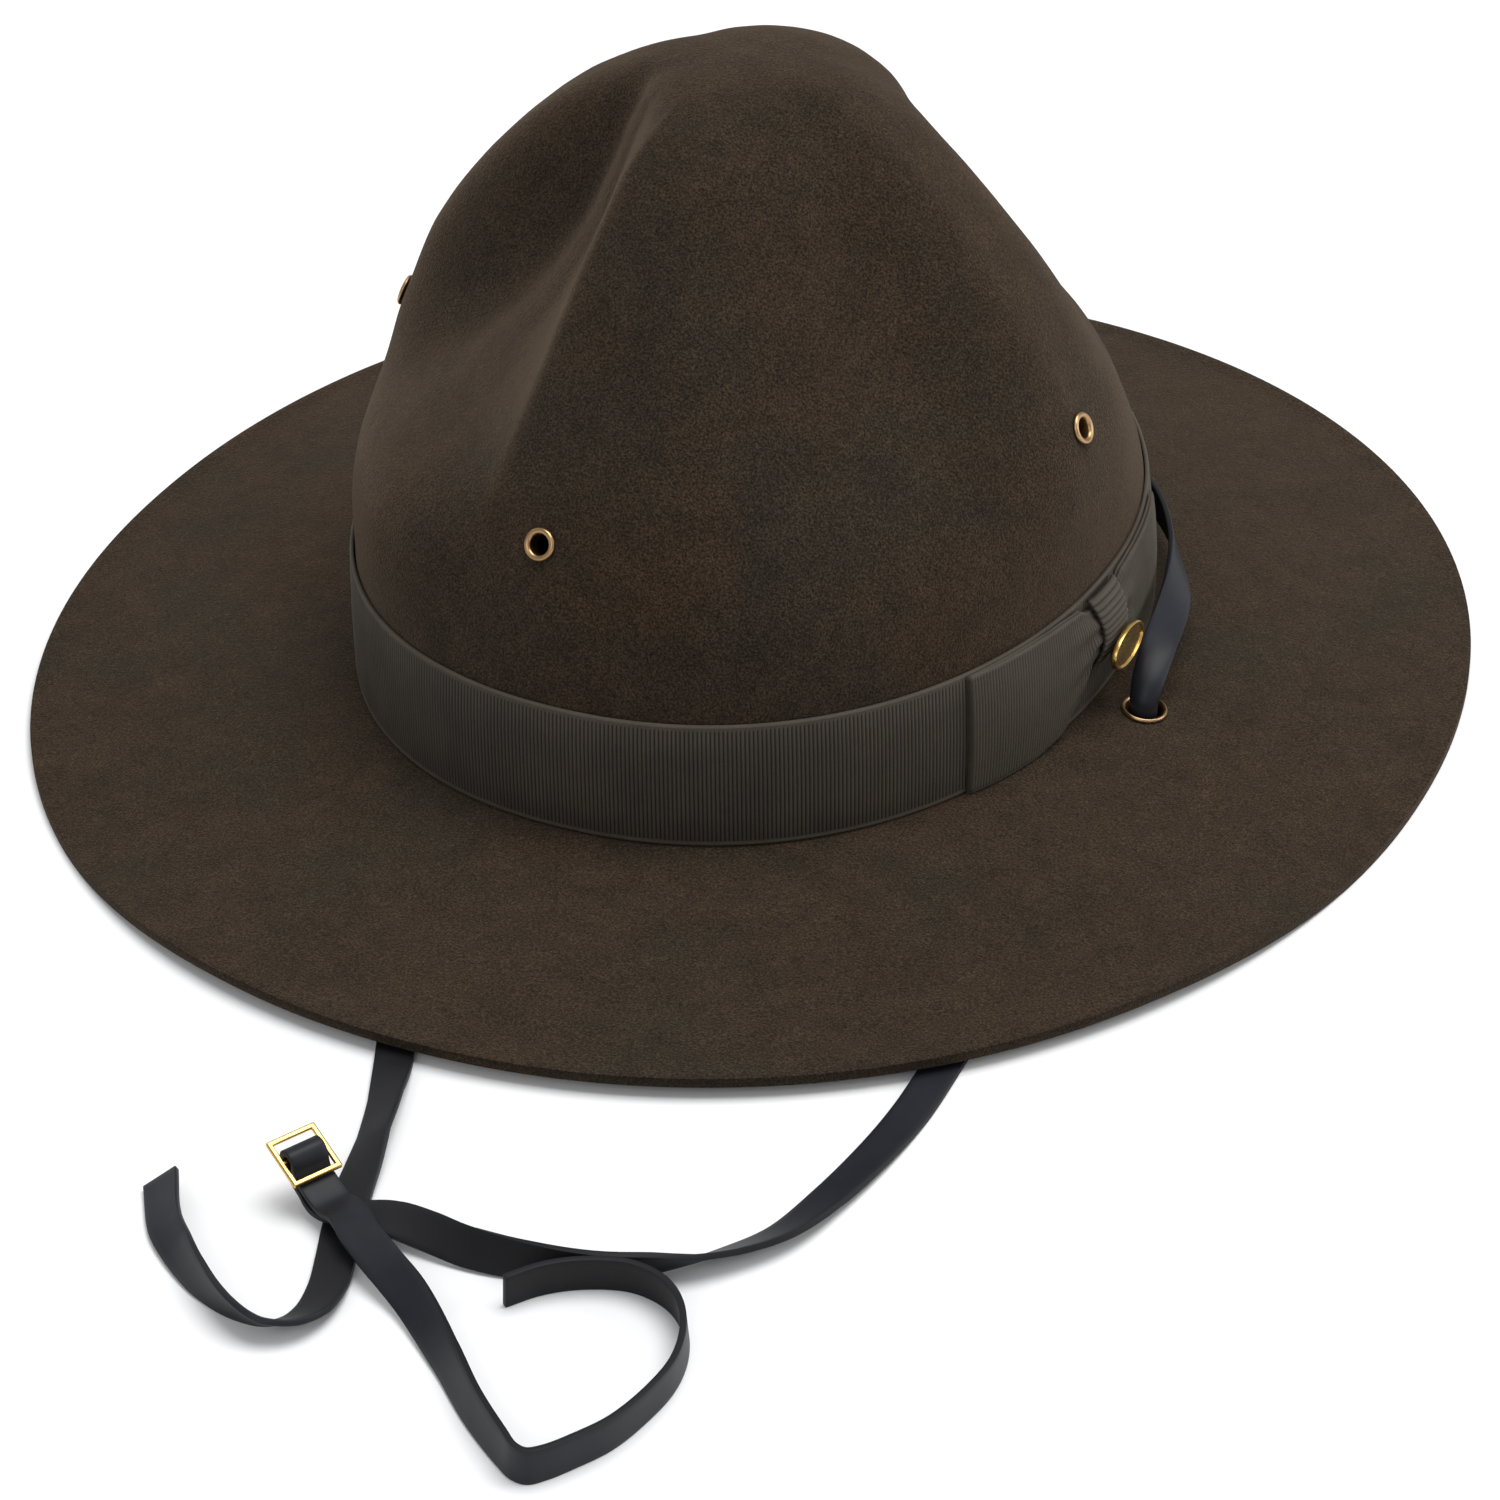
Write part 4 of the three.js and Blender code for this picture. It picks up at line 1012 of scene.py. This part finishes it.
def loop_section(share):
    """Height, middle, thickness and thinning of the loop at a share of its length."""
    i = 0
    while i < len(LOOP_ROWS) - 2 and LOOP_ROWS[i + 1][0] < share:
        i += 1
    low, high = LOOP_ROWS[i], LOOP_ROWS[i + 1]
    f = smooth_step(low[0], high[0], share)
    return [a + (b - a) * f for a, b in zip(low[1:], high[1:])]


def make_loop(name, node, length, phase):
    ribs_here = round(abs(length) / RIB_PITCH)
    steps = 2 * ribs_here * COLUMNS_PER_RIB
    bm = bmesh.new()
    groove_shade_marks = bm.verts.layers.float.new("rib")
    bmesh.ops.create_grid(bm, x_segments=steps, y_segments=LOOP_FACES_HIGH, size=0.5, calc_uvs=True)
    for vertex in bm.verts:
        column = round((vertex.co.x + 0.5) * steps)
        y = vertex.co.y
        trip = 2 * column / steps
        top = trip > 1
        share = 0.09 + 0.91 * (2 - trip if top else trip)
        height, middle, thick, thinning = loop_section(share)
        out = CLOTH / 2
        ribbed = top and abs(y) < 0.49
        if top:
            turned = 1 - smooth_step(0.992, 1.0, share)
            full = BOW_THICK * thick * (1 - thinning * (2 * y) ** 2)
            out += max(full - CLOTH, 0.1) * turned
            gathered = smooth_step(0.5, 0.13, share)
            out += PLEAT * gathered * math.cos(2 * math.pi * (y * PLEATS + phase)) * (1 - (2 * y) ** 6)
        if ribbed:
            out += RIB_DEPTH * (rib(column) - RIB_LEVEL)
        # the stored rib height paints shade into the grooves of the loop
        vertex[groove_shade_marks] = rib(column) if ribbed else 1.0
        vertex.co = over_band(share * length, GAP + RIBBON_HEIGHT * (middle + y * height), out)
    piece = add_piece(bm, name, ribbon_finish)
    add_wall(piece, CLOTH, 0.0)
    apply_modifiers(piece)
    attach(piece, "root")
    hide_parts(node)
    return piece


make_loop("bow_front", "bow_front_loop", -BOW_FRONT, 0.1)
make_loop("bow_back", "bow_back_loop", BOW_BACK, 0.35)
print("bow loops", BOW_FRONT, "and", BOW_BACK, "mm long")

# %% [markdown]
# The knot is a short piece of the ribbon wrapped over the gathered middle of the bow. It runs up
# and down, so its gathered ribs lie level. It arches over the bow and comes down to the band above
# and below it.

# %% Knot
KNOT_WIDTH = 13
KNOT_HEIGHT = 18
KNOT_SHARE = 0.67
KNOT_THICK = 1.2
KNOT_SEAT = BOW_THICK * LOOP_ROWS[0][3] + 1.6 * GAP
KNOT_ARCH = 0.92
KNOT_RIBS = 13
KNOT_RIB_DEPTH = 0.5
KNOT_RIB_STEPS = 6


def make_knot():
    rows = KNOT_RIBS * KNOT_RIB_STEPS
    bm = bmesh.new()
    groove_shade_marks = bm.verts.layers.float.new("rib")
    bmesh.ops.create_grid(bm, x_segments=18, y_segments=rows, size=0.5, calc_uvs=True)
    for vertex in bm.verts:
        x, y = vertex.co.x, vertex.co.y
        column = round((y + 0.5) * rows)
        waist = 1 - 0.12 * math.cos(math.pi * y)
        edge = (2 * x) ** 4
        out = KNOT_SEAT * (1 - KNOT_ARCH * (2 * y) ** 2) + 0.5 * KNOT_THICK * (1 - 0.5 * edge)
        height = abs(math.sin(math.pi * column / KNOT_RIB_STEPS)) ** 0.7
        out += KNOT_RIB_DEPTH * (height - RIB_LEVEL) - 0.4 * GAP * edge
        # the stored rib height paints shade into the grooves of the knot
        vertex[groove_shade_marks] = height
        up = GAP + RIBBON_HEIGHT * KNOT_SHARE + y * KNOT_HEIGHT
        vertex.co = over_band(x * KNOT_WIDTH * waist, up, out)
    piece = add_piece(bm, "knot", ribbon_finish)
    add_wall(piece, CLOTH, 0.0)
    apply_modifiers(piece)
    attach(piece, "root")
    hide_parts("bow_knot")


make_knot()
print("knot with", KNOT_RIBS, "ribs")

# %% [markdown]
# ## The badge
# A small oval plate of brass is pinned on the knot. Its face is blank and lies inside a narrow
# raised rim.

# %% Badge
BADGE_LENGTH = 16
BADGE_HEIGHT = 9.6
BADGE_THICK = 1.2


def make_badge():
    bm = bmesh.new()
    bmesh.ops.create_circle(bm, cap_ends=True, segments=64, radius=1)
    bmesh.ops.scale(bm, vec=(BADGE_LENGTH / 2, BADGE_HEIGHT / 2, 1), verts=bm.verts)
    lifted = bmesh.ops.extrude_face_region(bm, geom=bm.faces[:])
    top = [item for item in lifted["geom"] if isinstance(item, bmesh.types.BMFace)]
    top_verts = [item for item in lifted["geom"] if isinstance(item, bmesh.types.BMVert)]
    bmesh.ops.translate(bm, vec=(0, 0, BADGE_THICK), verts=top_verts)
    bmesh.ops.inset_region(bm, faces=top, thickness=0.35, depth=0.0)
    bmesh.ops.inset_region(bm, faces=top, thickness=0.35, depth=0.0)
    bmesh.ops.inset_region(bm, faces=top, thickness=0.15, depth=-0.4)
    bmesh.ops.inset_region(bm, faces=top, thickness=1.6, depth=0.12)
    bmesh.ops.recalc_face_normals(bm, faces=bm.faces)
    azimuth = BOW_AZIMUTH + 1
    up = GAP + RIBBON_HEIGHT * 0.5
    out = BOW_SEAT + KNOT_SEAT + KNOT_THICK + 1.5 * GAP
    outward = head_normal(azimuth)
    upward = Vector((0, 0, 1))
    along = upward.cross(outward)
    place = Matrix((along, upward, outward)).transposed().to_4x4()
    place.translation = beside_head(azimuth, out - wall_inset(azimuth, up), up)
    bmesh.ops.transform(bm, matrix=place, verts=bm.verts)
    piece = add_piece(bm, "badge_plate", brass_finish)
    add_bevel(piece, 0.18, 3, 35)
    apply_modifiers(piece)
    shade_smooth(piece)
    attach(piece, "root")
    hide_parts("badge")


make_badge()
print("badge", BADGE_LENGTH, "by", BADGE_HEIGHT, "mm")

# %% [markdown]
# ## The strap over the brim
# Between the grommets the chin strap runs round the back of the crown. It stands on its edge
# against the band and is rolled where it dips into a hole.

# %% Strap round the back
# azimuth, out from the head oval, up from the foot of the crown, tilt, curl
BACK_HALF = [
    (86, 12, -2.2, 0, 160), (86.05, 12, 1.2, 0, 150), (87.4, 11.9, 5.4, 2, 90),
    (91.5, 11.2, 9.6, 8, 25), (98, 10, 10.4, 22, 0), (106, 8.4, 9.4, 46, 0),
    (116, 6.4, 7.8, 74, 0), (128, 4.8, 6.5, 90, 0), (142, 3.4, 6.2, 90, 0),
    (160, 2.8, 6.2, 90, 0), (180, 2.8, 6.2, 90, 0)]
back_rows = BACK_HALF + [(360 - row[0], *row[1:]) for row in reversed(BACK_HALF[:-1])]
back_points = [beside_head(*row[:3]) for row in back_rows]
back_frames = strap_frames(back_points, [row[3] for row in back_rows], [row[4] for row in back_rows],
                           False, Vector((-1, 0, 0)))
back_strap = make_strap("strap_round_back", back_frames, (leather_outside, leather_inside))
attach(back_strap, "root")
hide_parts("strap_back")
print("strap round the back has", len(back_rows), "rows")

# %% [markdown]
# ## Floor, light and finish
# A pale floor and large soft lights show the hat as in a studio. The main light hangs over the
# hat, towards the wearer's left and a little behind, so the brim and the ridges are lighter than
# the front of the crown.

# %% Floor
FLOOR_HALF = 6000
floor_bm = bmesh.new()
bmesh.ops.create_grid(floor_bm, x_segments=1, y_segments=1, size=FLOOR_HALF)
floor_material = bpy.data.materials.new("pale_floor")
floor_material.use_nodes = True
floor_shader = floor_material.node_tree.nodes["Principled BSDF"]
floor_shader.inputs["Base Color"].default_value = (0.86, 0.86, 0.86, 1)
floor_shader.inputs["Roughness"].default_value = 0.9
add_piece(floor_bm, "floor", floor_material)


# %% Lights
# name, place, aim, size across, power: metres and watts
LIGHTS = [
    ("top", (0.4, 0.2, 1.9), (0, 0, 0.05), 1.5, 33),
    ("right", (1.5, 0.6, 0.6), (0, 0, 0.08), 0.9, 8),
    ("left", (-1.6, 0.8, 0.8), (0, 0, 0.05), 1.0, 3),
    ("front", (0.1, -1.8, 1.2), (0, 0, 0.05), 1.2, 7)]


def add_light(name, place, aim, size, power):
    data = bpy.data.lights.new(name, "AREA")
    data.shape = "DISK"
    data.size = size
    data.energy = power
    light = bpy.data.objects.new(name, data)
    turn = (Vector(aim) - Vector(place)).to_track_quat("-Z", "Y")
    light.matrix_world = Matrix.LocRotScale(Vector(place), turn, None)
    bpy.context.scene.collection.objects.link(light)


for light_row in LIGHTS:
    add_light(*light_row)

world = bpy.data.worlds.new("studio")
world.use_nodes = True
world.node_tree.nodes["Background"].inputs["Color"].default_value = (0.95, 0.97, 1.0, 1)
world.node_tree.nodes["Background"].inputs["Strength"].default_value = 0.46
bpy.context.scene.world = world
bpy.context.scene.view_settings.view_transform = "Standard"
